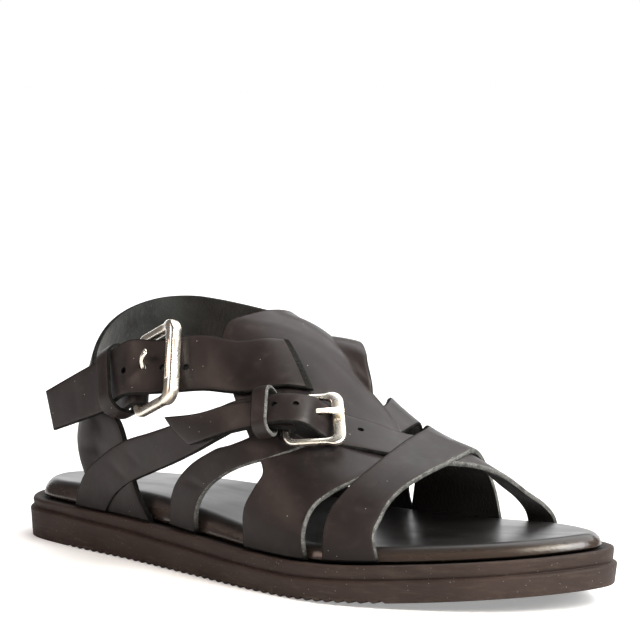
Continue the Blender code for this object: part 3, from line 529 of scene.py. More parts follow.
def on_side(x, z, medial=False):
    """Points of the last's side at x and height z, on the same arched sections."""
    ridge_y, ridge_z, full = at_x(RIDGE, x)
    base_y = seat_y(x, medial)
    base_z = ledge_z(x) + SEAT_GAP
    rise = np.clip((z - base_z) / (ridge_z - base_z), 0.0, 1.0)
    return np.stack([x, ridge_y + (base_y - ridge_y) * (1.0 - rise**full) ** (1.0 / full), z], axis=-1)


def on_medial(x, z):
    """Points of the last's medial side."""
    return on_side(x, z, True)


def on_heel(place, z):
    """Points of the last's heel: half an ellipse round the back, then straight sides."""
    back, lateral, fore, medial = at_x(HEEL, z)
    beyond = np.maximum(np.abs(place) - 1.0, 0.0)
    angle = 0.5 * math.pi * np.clip(place, -1.0, 1.0)
    x = HEEL_LINE - (HEEL_LINE - back) * np.cos(angle) + beyond * HEEL_REACH
    y = 0.5 * (lateral + medial) - 0.5 * (medial - lateral) * np.sin(angle)
    y = y + np.where(place > 1.0, (fore - lateral) * beyond * HEEL_REACH / HEEL_FORE, 0.0)
    return np.stack([x, y, z], axis=-1)


def from_core(points):
    """Ways from the last's middle line to the points."""
    core = np.zeros_like(points)
    core[..., 0] = np.maximum(points[..., 0], HEEL_LINE)
    core[..., 2] = LAST_CORE_Z
    return points - core


def raised(chart, first, second, lift):
    """Chart points moved outwards along the chart's normal."""
    point = chart(first, second)
    one = chart(first + CHART_STEP, second) - chart(first - CHART_STEP, second)
    two = chart(first, second + CHART_STEP) - chart(first, second - CHART_STEP)
    normal = unit(np.cross(one, two))
    inside = np.sum(normal * from_core(point), axis=-1, keepdims=True) < 0.0
    return point + np.where(inside, -normal, normal) * lift[..., None]


def between(start, end, shares):
    """Columns of values from start to end by the shares."""
    return start[:, None] + (end - start)[:, None] * shares


def foot_lines(rows, shares):
    """Rows of points across a strap on the foot, from its rear edge to its front edge."""
    table = np.array(rows, float).T
    x = between(table[0], table[2], shares)
    turn = np.clip(between(table[1], table[3], shares), *TURN_ENDS)
    return raised(on_foot, x, turn, between(table[4], table[4] + table[5], shares))


def side_lines(rows, chart, shares):
    """Rows of points across a strap on a side of the foot, from its upper edge to its lower edge."""
    table = np.array(rows, float).T
    x = between(table[0], table[2], shares)
    z = between(table[1], table[3], shares)
    return raised(chart, x, z, between(table[4], table[5], shares))


def heel_lines(rows, shares):
    """Rows of points across a strap round the heel, from its upper edge to its lower edge."""
    table = np.array(rows, float).T
    place = between(table[2], table[0], shares)
    z = between(table[3], table[1], shares)
    return raised(on_heel, place, z, between(table[4], table[4], shares))


def axes_of(piece):
    """Way ahead, way across and way out of a buckle or keeper, all square to each other."""
    ahead = unit(piece.ahead)
    across = unit(piece.across - ahead * np.dot(piece.across, ahead))
    out = np.cross(ahead, across)
    if out[1] > 0.0:
        out = -out
    return ahead, across, out


def fold_lines(buckle, width, shares):
    """Rows of a strap end that passes over the hinge bar and back beneath it, in half a circle."""
    ahead, across, out = axes_of(buckle)
    radius = buckle.wire + GAP
    angle = np.linspace(0.0, math.pi, FOLD_ROWS)[:, None]
    middles = buckle.hinge + radius * (np.cos(angle) * out + np.sin(angle) * ahead)
    middles = np.concatenate([middles, middles[-1:] - ahead * FOLD_BACK])
    return middles[:, None] + (width * (0.5 - shares))[None, :, None] * across


def strap_sheets():
    """Inner sheets of every strap: points by row along the strap and by share across it."""
    shares = np.linspace(0.0, 1.0, SHEET_COLUMNS)
    band_end = fold_lines(ANKLE_BUCKLE, BAND_END_WIDTH, shares)[::-1]
    band = [band_end, heel_lines(BAND, shares), side_lines(BAND_ON_FOOT, on_medial, shares)]
    base = [side_lines(BASE, on_side, shares), fold_lines(INSTEP_BUCKLE, BASE_END_WIDTH, shares)]
    ankle = [foot_lines(ANKLE_ON_FOOT, shares), side_lines(ANKLE_ON_SIDE, on_side, shares)]
    return {
        "vamp_strap": foot_lines(VAMP, shares),
        "inner_rear_strap": foot_lines(INNER_REAR, shares),
        "inner_fore_strap": foot_lines(INNER_FORE, shares),
        "low_front_strap": foot_lines(LOW_FRONT, shares),
        "instep_strap": foot_lines(INSTEP, shares),
        "front_strap": foot_lines(FRONT, shares),
        "heel_leg": heel_lines(LEG, shares),
        "heel_band": np.concatenate(band),
        "base_strap": np.concatenate(base),
        "ankle_billet": np.concatenate(ankle),
    }


def outward_sheet(lines):
    """Smooth grid through a strap's rows, turned so that its normals point away from the last."""
    grid = through(lines, ROW_STEPS)
    normal = np.cross(np.gradient(grid, axis=0), np.gradient(grid, axis=1))
    return grid[:, ::-1] if np.sum(normal * from_core(grid)) < 0.0 else grid


def sheet_normals(grid, closed):
    """Normals of a grid: rate along its rows crossed with rate across them, at length one."""
    if closed:
        along = np.roll(grid, -1, axis=0) - np.roll(grid, 1, axis=0)
    else:
        along = np.gradient(grid, axis=0)
    return unit(np.cross(along, np.gradient(grid, axis=1)))


def rows_at(grid, places):
    """Rows of a grid at broken row numbers, by straight blending."""
    low = np.minimum(places.astype(int), len(grid) - 2)
    part = (places - low)[:, None, None]
    return grid[low] * (1.0 - part) + grid[low + 1] * part


def columns_at(grid, places):
    """Columns of a grid at broken column numbers that differ by row, by straight blending."""
    row = np.arange(len(grid))[:, None]
    low = np.minimum(places.astype(int), grid.shape[1] - 2)
    part = (places - low)[..., None]
    return grid[row, low] * (1.0 - part) + grid[row, low + 1] * part


def spot(grid, row, column):
    """Value of a grid at a broken row number and a broken column number."""
    return columns_at(rows_at(grid, np.array([row])), np.array([[column]]))[0, 0]


def crease_relief(name, along, across, total, width):
    """Height of a strap's creases, mm: each a bell across its line that fades at the line's ends."""
    height = 0.0 * across
    for crease in CREASES.get(name, ()):
        turn = math.radians(crease.turn)
        ahead = along - crease.along * total
        aside = across - crease.across * width
        down = ahead * math.cos(turn) + aside * math.sin(turn)
        beside = aside * math.cos(turn) - ahead * math.sin(turn)
        fade = np.exp(-((2.0 * down / crease.length) ** 4))
        height = height - crease.depth * fade * np.exp(-((beside / crease.width) ** 2))
    return height


def leather_strip(name, grid, wall, rounding, crease_share, closed):
    """Closed strip of leather on an inner sheet.

    The outer face is the sheet moved out by the wall, less a quarter circle at the cut edges and a slow fall
    towards them, plus the creases. The inner face is the sheet itself, and straight walls and end faces join
    the two.
    """
    rows, columns = grid.shape[:2]
    normal = sheet_normals(grid, closed)
    reach = reach_of(grid[:, columns // 2])
    near = rounding * EDGE_COLUMNS
    slant = SLANT_END.get(name, rounding) / rounding
    if not closed:
        number = np.arange(rows, dtype=float)
        starts = np.interp(slant * near[1:], reach, number)
        ends = np.interp(reach[-1] - near[1:], reach, number)
        places = np.unique(np.concatenate([number, starts, ends]))
        between_ends = (places > starts[-1]) & (places < ends[-1])
        at_ends = (places == 0.0) | (places == rows - 1.0)
        places = places[at_ends | ~np.isin(places, number) | between_ends]
        reach = np.interp(places, number, reach)
        grid, normal = rows_at(grid, places), rows_at(normal, places)
    total = reach[-1]
    along = reach[:, None]
    width = np.sum(np.linalg.norm(np.diff(grid, axis=1), axis=2), axis=1)[:, None]
    inner_share = np.linspace(0.0, 1.0, STRIP_COLUMNS)[None, 1:-1]
    inside = near[-1] + (width - 2.0 * near[-1]) * inner_share
    across = np.concatenate([near + 0.0 * width, inside, width - near[::-1]], axis=1)
    grid = columns_at(grid, across / width * (columns - 1.0))
    normal = unit(columns_at(normal, across / width * (columns - 1.0)))
    edge = np.minimum(across, width - across)
    if not closed:
        edge = np.minimum(edge, np.minimum(along / slant, total - along))
    corner = 1.0 - np.clip(edge / rounding, 0.0, 1.0)
    drop = rounding * (1.0 - np.sqrt(1.0 - corner**2)) + EDGE_FALL * np.exp(-edge / EDGE_FALL_RUN)
    relief = crease_share * crease_relief(name, along, across, total, width)
    outer = grid + normal * (wall - drop + relief)[..., None]
    inner = grid + normal * (INNER_FOLLOWS * drop + relief)[..., None]
    return np.concatenate([outer, inner[:, ::-1]], axis=1), edge, relief


def tube_quads(number, closed):
    """Quads round the columns of a grid of point numbers, row to row, and back to the first if closed."""
    here = number if closed else number[:-1]
    following = np.roll(number, -1, axis=0) if closed else number[1:]
    return np.stack([here, np.roll(here, -1, axis=1), np.roll(following, -1, axis=1), following], axis=-1)


def strip_faces(edge, rounding, closed):
    """Quads round a strip and over its ends, each marked as grain side, cut edge or flesh side."""
    rows, columns = edge.shape
    number = np.arange(rows * 2 * columns).reshape(rows, 2 * columns)
    quads = np.roll(tube_quads(number, closed)[..., ::-1], 1, axis=-1)
    kinds = np.full(quads.shape[:2], FLESH)
    outer_edge = edge if closed else 0.5 * (edge[:-1] + edge[1:])
    middle_edge = 0.5 * (outer_edge[:, :-1] + outer_edge[:, 1:])
    kinds[:, :columns - 1] = np.where(middle_edge < CUT_SHARE * rounding, CUT, GRAIN)
    kinds[:, [columns - 1, -1]] = CUT
    quads = [quads.reshape(-1, 4)]
    kinds = [kinds.ravel()]
    if not closed:
        outer = np.arange(columns)
        inner = 2 * columns - 1 - outer
        start = np.stack([outer[:-1], outer[1:], inner[1:], inner[:-1]], axis=-1)
        quads += [number[0][start], number[-1][start[:, ::-1]]]
        kinds.append(np.full(2 * (columns - 1), CUT))
    return np.concatenate(quads), np.concatenate(kinds)


def strip_marks(name, points, edge, relief):
    """Point marks of a strip: nearness to a cut edge, creases and nearness to the sole's ledge (both for
    painted shade), pale edge.

    The cut edge is pale on a strap's front edge, from the strap's own place along the shoe on.
    """
    x = points[..., 0]
    above = points[..., 2] - ledge_z(x)
    front = x > 0.5 * (x.min(axis=1, keepdims=True) + x.max(axis=1, keepdims=True))
    return {
        "rim": np.concatenate([np.exp(-edge / RIM_FADE), 0.0 * edge], axis=1),
        "fold": np.concatenate([relief, relief[:, ::-1]], axis=1),
        "seat": np.exp(-np.maximum(above, 0.0) / SEAT_SHADE),
        "pale": front * ease((x - PALE_FROM.get(name, NEVER_PALE)) / PALE_RUN),
    }


def metres(points):
    """Table millimetres to the part's frame: metres from the middle of the heel pad on the floor."""
    return (np.asarray(points, float) - np.array([HEEL_PAD_X, 0.0, 0.0])) * METRE


def smoothed(mesh, sharp):
    """Shades a mesh smooth, but for edges beyond the sharp angle in degrees."""
    mesh.shade_smooth()
    mesh.set_sharp_from_angle(angle=math.radians(sharp))


def new_piece(name, points, faces, finishes, kinds=None, marks=None, sharp=SHARP_ANGLE):
    """Mesh object at the origin from millimetre points and faces, with its finishes and point marks."""
    mesh = bpy.data.meshes.new(name)
    mesh.from_pydata(metres(np.reshape(points, (-1, 3))), [], faces)
    for finish in finishes:
        mesh.materials.append(finish)
    if kinds is not None:
        mesh.polygons.foreach_set("material_index", np.asarray(kinds, np.int32))
    for key, values in (marks or {}).items():
        attribute = mesh.attributes.new(key, "FLOAT", "POINT")
        attribute.data.foreach_set("value", np.asarray(values, np.float32).ravel())
    smoothed(mesh, sharp)
    piece = bpy.data.objects.new(name, mesh)
    bpy.context.scene.collection.objects.link(piece)
    return piece


def seat_piece(piece, slot, *nodes):
    """Parents a finished piece to the root body and hides the solids that it stands for."""
    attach(piece, "root")
    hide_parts(*nodes)


def cut_away(piece, cutter, sharp=SHARP_ANGLE):
    """Takes a cutter out of a piece for good and removes the cutter."""
    difference = piece.modifiers.new("cut", "BOOLEAN")
    difference.operation = "DIFFERENCE"
    difference.solver = "EXACT"
    difference.object = cutter
    shown = piece.evaluated_get(bpy.context.evaluated_depsgraph_get())
    mesh = bpy.data.meshes.new_from_object(shown)
    piece.modifiers.clear()
    piece.data = mesh
    bpy.data.objects.remove(cutter)
    smoothed(mesh, sharp)


def hole_pegs(name, grid):
    """Oval pegs square to a strap where its holes are punched."""
    normal = sheet_normals(grid, False)
    reach = reach_of(grid[:, grid.shape[1] // 2])
    angle = np.linspace(0.0, 2.0 * math.pi, PEG_SIDES, endpoint=False)[:, None]
    points, faces = [], []
    for hole in HOLES[name]:
        row = np.interp(hole.along * reach[-1], reach, np.arange(len(grid)))
        column = hole.across * (grid.shape[1] - 1.0)
        centre = spot(grid, row, column)
        up = unit(spot(normal, row, column))
        ahead = spot(grid, min(row + 1.0, len(grid) - 1.0), column) - centre
        ahead = unit(ahead - up * np.dot(ahead, up))
        side = np.cross(up, ahead)
        ring = centre + np.cos(angle) * ahead * hole.half_length + np.sin(angle) * side * hole.half_width
        low = len(points) * PEG_SIDES + np.arange(PEG_SIDES)
        points += [ring - up * PEG_REACH, ring + up * (LEATHER + PEG_REACH)]
        faces += tube_quads(np.stack([low, low + PEG_SIDES]), False)[0].tolist()
        faces += [low[::-1].tolist(), (low + PEG_SIDES).tolist()]
    return np.concatenate(points), faces


def leather_piece(name, grid, wall, finishes, sizes, closed=False):
    """Piece of leather on an inner sheet, with its faces, finishes and point marks."""
    rounding = sizes.edge_round / METRE
    points, edge, relief = leather_strip(name, grid, wall / METRE, rounding, sizes.crease_share, closed)
    faces, kinds = strip_faces(edge, rounding, closed)
    return new_piece(name, points, faces.tolist(), finishes, kinds, strip_marks(name, points, edge, relief))


def build_strap(name, lines, finishes, slot, node, sizes):
    """One strap: its sheet, its strip of leather and its punched holes."""
    grid = outward_sheet(lines)
    piece = leather_piece(name, grid, sizes.leather_wall, finishes, sizes)
    if name in HOLES:
        pegs, faces = hole_pegs(name, grid)
        cut_away(piece, new_piece(name + "_pegs", pegs, faces, finishes, np.full(len(faces), CUT)))
    seat_piece(piece, slot, node)


def ladder(ring_start, stations, flip):
    """Faces of a cap between the lateral and medial halves of a ring."""
    size = 2 * stations - 2
    index = np.arange(stations)
    lateral = ring_start + index
    medial = ring_start + (size - index) % size
    quads = np.stack([lateral[:-1], lateral[1:], medial[1:], medial[:-1]], axis=-1)
    quads = quads[:, ::-1] if flip else quads
    first, last = ([2, 3, 1], [0, 2, 3]) if flip else ([0, 1, 2], [0, 1, 3])
    return [quads[0][first].tolist()] + quads[1:-1].tolist() + [quads[-1][last].tolist()]


def stacked(rings):
    """Points and faces of a closed body from rings laid one over another, capped below and above."""
    size = len(rings[0])
    stations = size // 2 + 1
    number = np.arange(len(rings) * size).reshape(len(rings), size)
    sides = tube_quads(number, False).reshape(-1, 4).tolist()
    faces = ladder(0, stations, True) + sides + ladder((len(rings) - 1) * size, stations, False)
    return np.concatenate(rings), faces


def ring_at(inset, level):
    """Outline ring at an inset, with heights from a function of x."""
    ring = outline_ring(inset)
    x = np.clip(ring[:, 0], 0.0, LENGTH)
    return np.concatenate([ring, level(x)[:, None]], axis=1)


def drawn_in(inset, share, level):
    """Inset ring drawn in towards the middle line by a share, with heights from a function of x."""
    ring = outline_ring(inset)
    size = len(ring)
    partner = ring[(size - np.arange(size)) % size]
    middle = 0.5 * (ring + partner)
    middle[:, 0] = np.clip(ring[:, 0], HEEL_PAD_X, LENGTH - HEEL_PAD_X)
    ring = ring + (middle - ring) * share
    return np.concatenate([ring, level(ring[:, 0])[:, None]], axis=1)


def build_sole(finish):
    """Outsole: rounded wall, groove, step and ledge in rings, with ribs cut across the bottom."""
    levels = {"bottom": spring, "groove": groove_z, "ledge": ledge_z}
    rings = [ring_at(row.inset, lambda x, row=row: levels[row.level](x) + row.rise) for row in SOLE_SIDE]
    points, faces = stacked(rings)
    # Mask of the painted shade: full in the seam by the insole
    seam = np.repeat([ease((row.inset - SEAM_FROM) / SEAM_RUN) for row in SOLE_SIDE], len(rings[0]))
    sole = new_piece("sole", points, faces, [finish], marks={"seat": seam})
    middle = np.arange(RIB_FIRST, RIB_LAST, RIB_PITCH)
    rise = spring(middle)
    corners = [(-NOTCH_HALF, -NOTCH_FOOT), (NOTCH_HALF, -NOTCH_FOOT), (0.0, NOTCH_DEPTH)]
    ends = []
    for side in (-RIB_REACH, RIB_REACH):
        for x, z in corners:
            ends.append(np.stack([middle + x, 0.0 * middle + side, rise + z], axis=-1))
    start = (len(ends) * np.arange(len(middle)))[:, None]
    caps = np.concatenate([start + [0, 1, 2], start + [5, 4, 3]])
    sides = np.concatenate([start + [3, 4, 1, 0], start + [4, 5, 2, 1], start + [5, 3, 0, 2]])
    clean = np.zeros(len(ends) * len(middle))
    prisms = caps.tolist() + sides.tolist()
    comb = new_piece("rib_comb", np.stack(ends, axis=1), prisms, [finish], marks={"seat": clean})
    cut_away(sole, comb, RUBBER_SHARP)
    seat_piece(sole, "sole_rubber", "outsole")


def build_insole(finish):
    """Insole: padded slab with a round rim and a smooth top that follows the rim's height."""
    def part_way(share):
        return lambda x: ledge_z(x) + GAP + share * (rim_z(x) - ledge_z(x) - GAP)

    side = LEDGE + SIDE_CLEAR
    rings = [ring_at(side + row.inset, part_way(row.share)) for row in INSOLE_RIM]
    shares = np.linspace(0.0, INSOLE_REACH, INSOLE_RINGS + 1)[1:]
    rings += [drawn_in(side + INSOLE_RIM[-1].inset, share, rim_z) for share in shares]
    points, faces = stacked(rings)
    level = np.repeat([row.share for row in INSOLE_RIM] + [1.0] * INSOLE_RINGS, len(rings[0]))
    insole = new_piece("insole_pad", points, faces, [finish], marks={"rim": 1.0 - level}, sharp=RUBBER_SHARP)
    seat_piece(insole, "insole_leather", "insole")


def swept(path, first, second, half_first, half_second, power, sides, closed):
    """Surface of a section carried along a path: a superellipse on two ways, with half sizes by place."""
    angle = np.linspace(0.0, 2.0 * math.pi, sides, endpoint=False)
    cosine, sine = np.cos(angle), np.sin(angle)
    round_first = np.sign(cosine) * np.abs(cosine) ** (2.0 / power)
    round_second = np.sign(sine) * np.abs(sine) ** (2.0 / power)
    points = (path[:, None] + first[:, None] * (half_first[:, None] * round_first)[..., None]
              + second[:, None] * (half_second[:, None] * round_second)[..., None])
    number = np.arange(len(path) * sides).reshape(len(path), sides)
    faces = tube_quads(number, closed).reshape(-1, 4).tolist()
    if not closed:
        faces += [number[0][::-1].tolist(), number[-1].tolist()]
    return points, faces


def metal_piece(name, node, points, faces, finish):
    """Closed metal piece with every face turned outwards."""
    piece = new_piece(name, points, faces, [finish])
    shape = bmesh.new()
    shape.from_mesh(piece.data)
    bmesh.ops.recalc_face_normals(shape, faces=shape.faces)
    shape.to_mesh(piece.data)
    shape.free()
    seat_piece(piece, "buckle_metal", node)


def rounded_box(length, width, corner):
    """Rounded rectangle about its middle, as the four arcs of its corners one after another."""
    turn = np.linspace(0.0, 90.0, CORNER_STEPS)
    arcs = []
    for ahead, aside, start in ((1, 1, 0.0), (-1, 1, 90.0), (-1, -1, 180.0), (1, -1, 270.0)):
        angle = np.radians(start + turn)
        first = ahead * (length / 2.0 - corner) + corner * np.cos(angle)
        second = aside * (width / 2.0 - corner) + corner * np.sin(angle)
        arcs.append(np.stack([first, second], axis=1))
    return np.concatenate(arcs)


def build_frame(name, node, buckle, bar, finish):
    """Buckle frame: a flat-faced bar round a rounded rectangle, wider along its outer bar."""
    ahead, across, out = axes_of(buckle)
    flat = spaced(rounded_box(buckle.length, buckle.width, buckle.corner), FRAME_STATIONS, True)
    forward = buckle.length / 2.0 + flat[:, 0]
    path = buckle.hinge + ahead * forward[:, None] + across * flat[:, 1:]
    along = unit(np.roll(path, -1, axis=0) - np.roll(path, 1, axis=0))
    outwards = np.broadcast_to(out, path.shape)
    front = ease((forward - OUTER_FROM * buckle.length) / (OUTER_RUN * buckle.length))
    half = bar.arm_half + (bar.outer_half - bar.arm_half) * front
    thick = bar.arm_thick + (bar.outer_thick - bar.arm_thick) * front
    sideways = unit(np.cross(along, outwards))
    points, faces = swept(path, sideways, outwards, half, thick, FRAME_POWER, FRAME_SIDES, True)
    metal_piece(name, node, points, faces, finish)


def build_roller(finish):
    """Sleeve round the ankle buckle's outer bar: a profile of place and radius turned about the bar."""
    ahead, across, out = axes_of(ANKLE_BUCKLE)
    middle = ANKLE_BUCKLE.hinge + ahead * ANKLE_BUCKLE.length
    end = np.array([ROLLER_LENGTH / 2.0, ROLLER_RADIUS]) - np.array(ROLLER_END)
    profile = np.concatenate([end * [-1.0, 1.0], end[::-1]])
    angle = np.linspace(0.0, 2.0 * math.pi, ROLLER_SIDES, endpoint=False)[:, None, None]
    spoke = np.cos(angle) * ahead + np.sin(angle) * out
    points = middle + across * profile[None, :, 0:1] + spoke * profile[None, :, 1:2]
    number = np.arange(points.shape[0] * points.shape[1]).reshape(points.shape[:2])
    faces = tube_quads(number, True).reshape(-1, 4).tolist()
    metal_piece("ankle_roller", "ankle_buckle_roller", points, faces, finish)


def build_prong(name, node, buckle, rows, tip, finish):
    """Prong: an oval wire along a smooth path, drawn out wider and thinner at its tip."""
    ahead, across, out = axes_of(buckle)
    path = through(buckle.hinge + np.array(rows, float) @ np.stack([ahead, out, across]), PRONG_STEPS)
    along = unit(np.gradient(path, axis=0))
    sideways = unit(np.cross(along, out))
    share = np.linspace(0.0, 1.0, len(path))
    close = np.sqrt(np.clip(1.0 - (2.0 * share - 1.0) ** CLOSING_POWER, CLOSING_LEAST, 1.0))
    at_tip = ease((share - TIP_FROM) / TIP_RUN)
    wide = PRONG_RADIUS * (1.0 + (tip - 1.0) * at_tip) * close
    thick = PRONG_RADIUS * (1.0 - TIP_THIN * at_tip) * close
    outwards = np.cross(sideways, along)
    points, faces = swept(path, sideways, outwards, wide, thick, PRONG_POWER, PRONG_SIDES, False)
    metal_piece(name, node, points, faces, finish)


def build_keeper(name, node, keeper, finishes, sizes):
    """Keeper loop: a closed strip of leather round both straps on a rounded rectangle."""
    ahead, across, out = axes_of(keeper)
    flat = rounded_box(keeper.height, keeper.depth, KEEPER_CORNER * keeper.depth)
    path = spaced(flat, KEEPER_STATIONS, True)
    spine = keeper.middle + path[:, 0:1] * across + path[:, 1:2] * out
    shares = np.linspace(-0.5, 0.5, SHEET_COLUMNS)
    grid = spine[:, None] + (shares * keeper.length)[None, :, None] * ahead
    if np.sum(sheet_normals(grid, True) * (grid - keeper.middle)) < 0.0:
        grid = grid[:, ::-1]
    piece = leather_piece(name, grid, sizes.keeper_wall, finishes, sizes, True)
    seat_piece(piece, "strap_leather", node)


def add(tree, kind, values=None, **settings):
    """Adds a node: settings are its own fields, values go to its sockets as links or as constants."""
    made = tree.nodes.new(kind)
    for key, value in settings.items():
        setattr(made, key, value)
    for key, value in (values or {}).items():
        if isinstance(value, bpy.types.NodeSocket):
            tree.links.new(value, made.inputs[key])
        else:
            made.inputs[key].default_value = value
    return made


class Paint:
    """A new material and short ways to add nodes to it, all on the place on the object."""

    def __init__(self, name):
        self.material = bpy.data.materials.new(name)
        self.material.use_nodes = True
        self.tree = self.material.node_tree
        self.shader = self.tree.nodes["Principled BSDF"]
        self.place = self.add("ShaderNodeTexCoord").outputs["Object"]

    def add(self, kind, values=None, **settings):
        """New node of the material."""
        return add(self.tree, kind, values, **settings)

    def noise(self, scale, detail=3.0, rough=0.55, stretch=None):
        """Noise value with features of about one over the scale in metres, drawn out along the axes."""
        place = self.place
        if stretch:
            place = self.add("ShaderNodeMapping", {"Vector": place, "Scale": stretch}).outputs[0]
        values = {"Vector": place, "Scale": scale, "Detail": detail, "Roughness": rough}
        return self.add("ShaderNodeTexNoise", values).outputs[0]

    def cells(self, scale):
        """Round cells of about one over the scale in metres."""
        return self.add("ShaderNodeTexVoronoi", {"Vector": self.place, "Scale": scale})

    def axis(self, number):
        """Place along one axis of the object."""
        return self.add("ShaderNodeSeparateXYZ", {0: self.place}).outputs[number]

    def span(self, value, low, high, to_low=0.0, to_high=1.0):
        """Value carried from one range to another, held at its ends."""
        return self.add("ShaderNodeMapRange", {0: value, 1: low, 2: high, 3: to_low, 4: to_high}).outputs[0]

    def times(self, first, second):
        """One value times another."""
        return self.add("ShaderNodeMath", {0: first, 1: second}, operation="MULTIPLY").outputs[0]

    def plus(self, first, second):
        """One value plus another."""
        return self.add("ShaderNodeMath", {0: first, 1: second}, operation="ADD").outputs[0]

    def mark(self, name):
        """Value of a point mark of the mesh."""
        return self.add("ShaderNodeAttribute", attribute_name=name).outputs["Fac"]

    def mixed(self, share, *colours):
        """Two colours mixed by a share, each a socket or red, green and blue."""
        first, second = [colour if isinstance(colour, bpy.types.NodeSocket) else (*colour, 1.0)
                         for colour in colours]
        return self.add("ShaderNodeMix", {0: share, 6: first, 7: second}, data_type="RGBA").outputs[2]

    def specks(self, scale, size, keep, strength):
        """Sparse round specks: near the middle of a few cells."""
        cells = self.cells(scale)
        near = self.span(cells.outputs["Distance"], size, SPECK_CORE * size)
        picked = self.add("ShaderNodeSeparateColor", {"Color": cells.outputs["Color"]}).outputs[0]
        few = self.span(picked, 1.0 - keep, 1.0 - SPECK_FULL * keep)
        return self.times(self.times(near, few), strength)

    def constant(self, name, value):
        """Sets a constant on the shader."""
        self.shader.inputs[name].default_value = value

    def link(self, value, name):
        """Links a value to the shader."""
        self.tree.links.new(value, self.shader.inputs[name])

    def finished(self, tone, rough, specular, height, distance, strength):
        """The material with its colour, roughness, specular level and bump in place."""
        bump = self.add("ShaderNodeBump", {"Height": height, "Distance": distance, "Strength": strength})
        self.link(tone, "Base Color")
        self.link(rough, "Roughness")
        self.link(bump.outputs[0], "Normal")
        self.constant("Specular IOR Level", specular)
        return self.material


def leather_finish(name, colours):
    """Dyed leather: fine grain and pores, cloudy colour, paler rubbed rims, a little dust, soft sheen,
    painted shade in creases and at the straps' feet.
    """
    paint = Paint(name)
    mottle = paint.noise(210.0)
    pores = paint.cells(1250.0).outputs["Distance"]
    grain = paint.noise(850.0, 3.0, 0.6)
    wrinkle = paint.noise(150.0, 4.0, 0.62, (1.0, 1.6, 2.4))
    scratches = paint.noise(520.0, 2.0, stretch=(0.25, 1.0, 1.6))
    rim = paint.times(paint.mark("rim"), paint.span(mottle, 0.32, 0.62, 0.45, 1.0))
    # Painted shade: near black and rougher towards the sole's ledge, where the straps go down into shadow
    painted_shade = paint.mark("seat")
    tone = paint.mixed(paint.span(paint.noise(38.0, 4.0), 0.35, 0.68), colours.leather_deep, colours.leather)
    tone = paint.mixed(paint.span(mottle, 0.55, 0.8, 0.0, 0.45), tone, colours.leather_worn)
    tone = paint.mixed(paint.times(rim, 0.3), tone, colours.leather_worn)
    # Painted shade in the hollows of the creases
    tone = paint.mixed(paint.span(paint.mark("fold"), -0.1, -0.5, 0.0, 0.4), tone, colours.leather_deep)
    tone = paint.mixed(paint.span(scratches, 0.70, 0.78, 0.0, 0.3), tone, colours.leather_worn)
    tone = paint.mixed(paint.specks(520.0, 0.11, 0.06, 0.7), tone, colours.dust)
    tone = paint.mixed(paint.times(painted_shade, 0.9), tone, colours.painted_shade)
    rough = paint.plus(paint.span(mottle, 0.3, 0.7, 0.34, 0.46), paint.times(rim, 0.12))
    rough = paint.plus(rough, paint.times(painted_shade, 0.4))
    height = paint.plus(paint.times(pores, 0.5), paint.times(grain, 0.8))
    height = paint.plus(height, paint.times(wrinkle, 0.7))
    return paint.finished(tone, rough, 0.25, height, 0.00005, 0.2)


def cut_finish(name, colours):
    """Raw cut edge: grey fibres, speckled, matte, pale on front edges and dyed dark elsewhere, painted shade
    by the ledge.
    """
    paint = Paint(name)
    fibre = paint.noise(1900.0, 4.0, 0.7)
    patch = paint.noise(330.0)
    pale = paint.span(paint.mark("pale"), 0.3, 0.7)
    deep = paint.mixed(pale, colours.cut_dark, colours.cut_deep)
    tone = paint.mixed(pale, colours.cut_dyed, colours.cut_edge)
    tone = paint.mixed(paint.span(fibre, 0.36, 0.66), deep, tone)
    tone = paint.mixed(paint.span(patch, 0.44, 0.66, 0.0, 0.85), tone, deep)
    # Painted shade on the cut edges near the sole's ledge
    tone = paint.mixed(paint.span(paint.mark("seat"), 0.25, 0.75), tone, colours.painted_shade)
    rough = paint.span(patch, 0.3, 0.7, 0.75, 0.95)
    return paint.finished(tone, rough, 0.08, paint.plus(fibre, patch), 0.0003, 0.6)


def suede_finish(name, colours):
    """Flesh side of the leather: short nap in soft patches with loose fibres, painted shade towards the toe.
    """
    paint = Paint(name)
    nap = paint.noise(1500.0, 4.0, 0.7)
    fibre = paint.noise(1100.0, 2.0, stretch=(1.0, 0.35, 0.5))
    tone = paint.mixed(paint.span(paint.noise(75.0, 4.0), 0.3, 0.7), colours.suede_deep, colours.suede)
    tone = paint.mixed(paint.span(fibre, 0.55, 0.75, 0.0, 0.5), tone, colours.cut_deep)
    # Painted shade: the inside of the straps darkens towards the toe, where little light gets in
    tone = paint.mixed(paint.span(paint.axis(0), 0.07, 0.12, 0.0, 0.95), tone, colours.painted_shade)
    paint.constant("Sheen Weight", 0.25)
    paint.constant("Sheen Roughness", 0.5)
    rough = paint.span(nap, 0.3, 0.7, 0.86, 0.98)
    return paint.finished(tone, rough, 0.1, paint.plus(nap, fibre), 0.0004, 0.7)


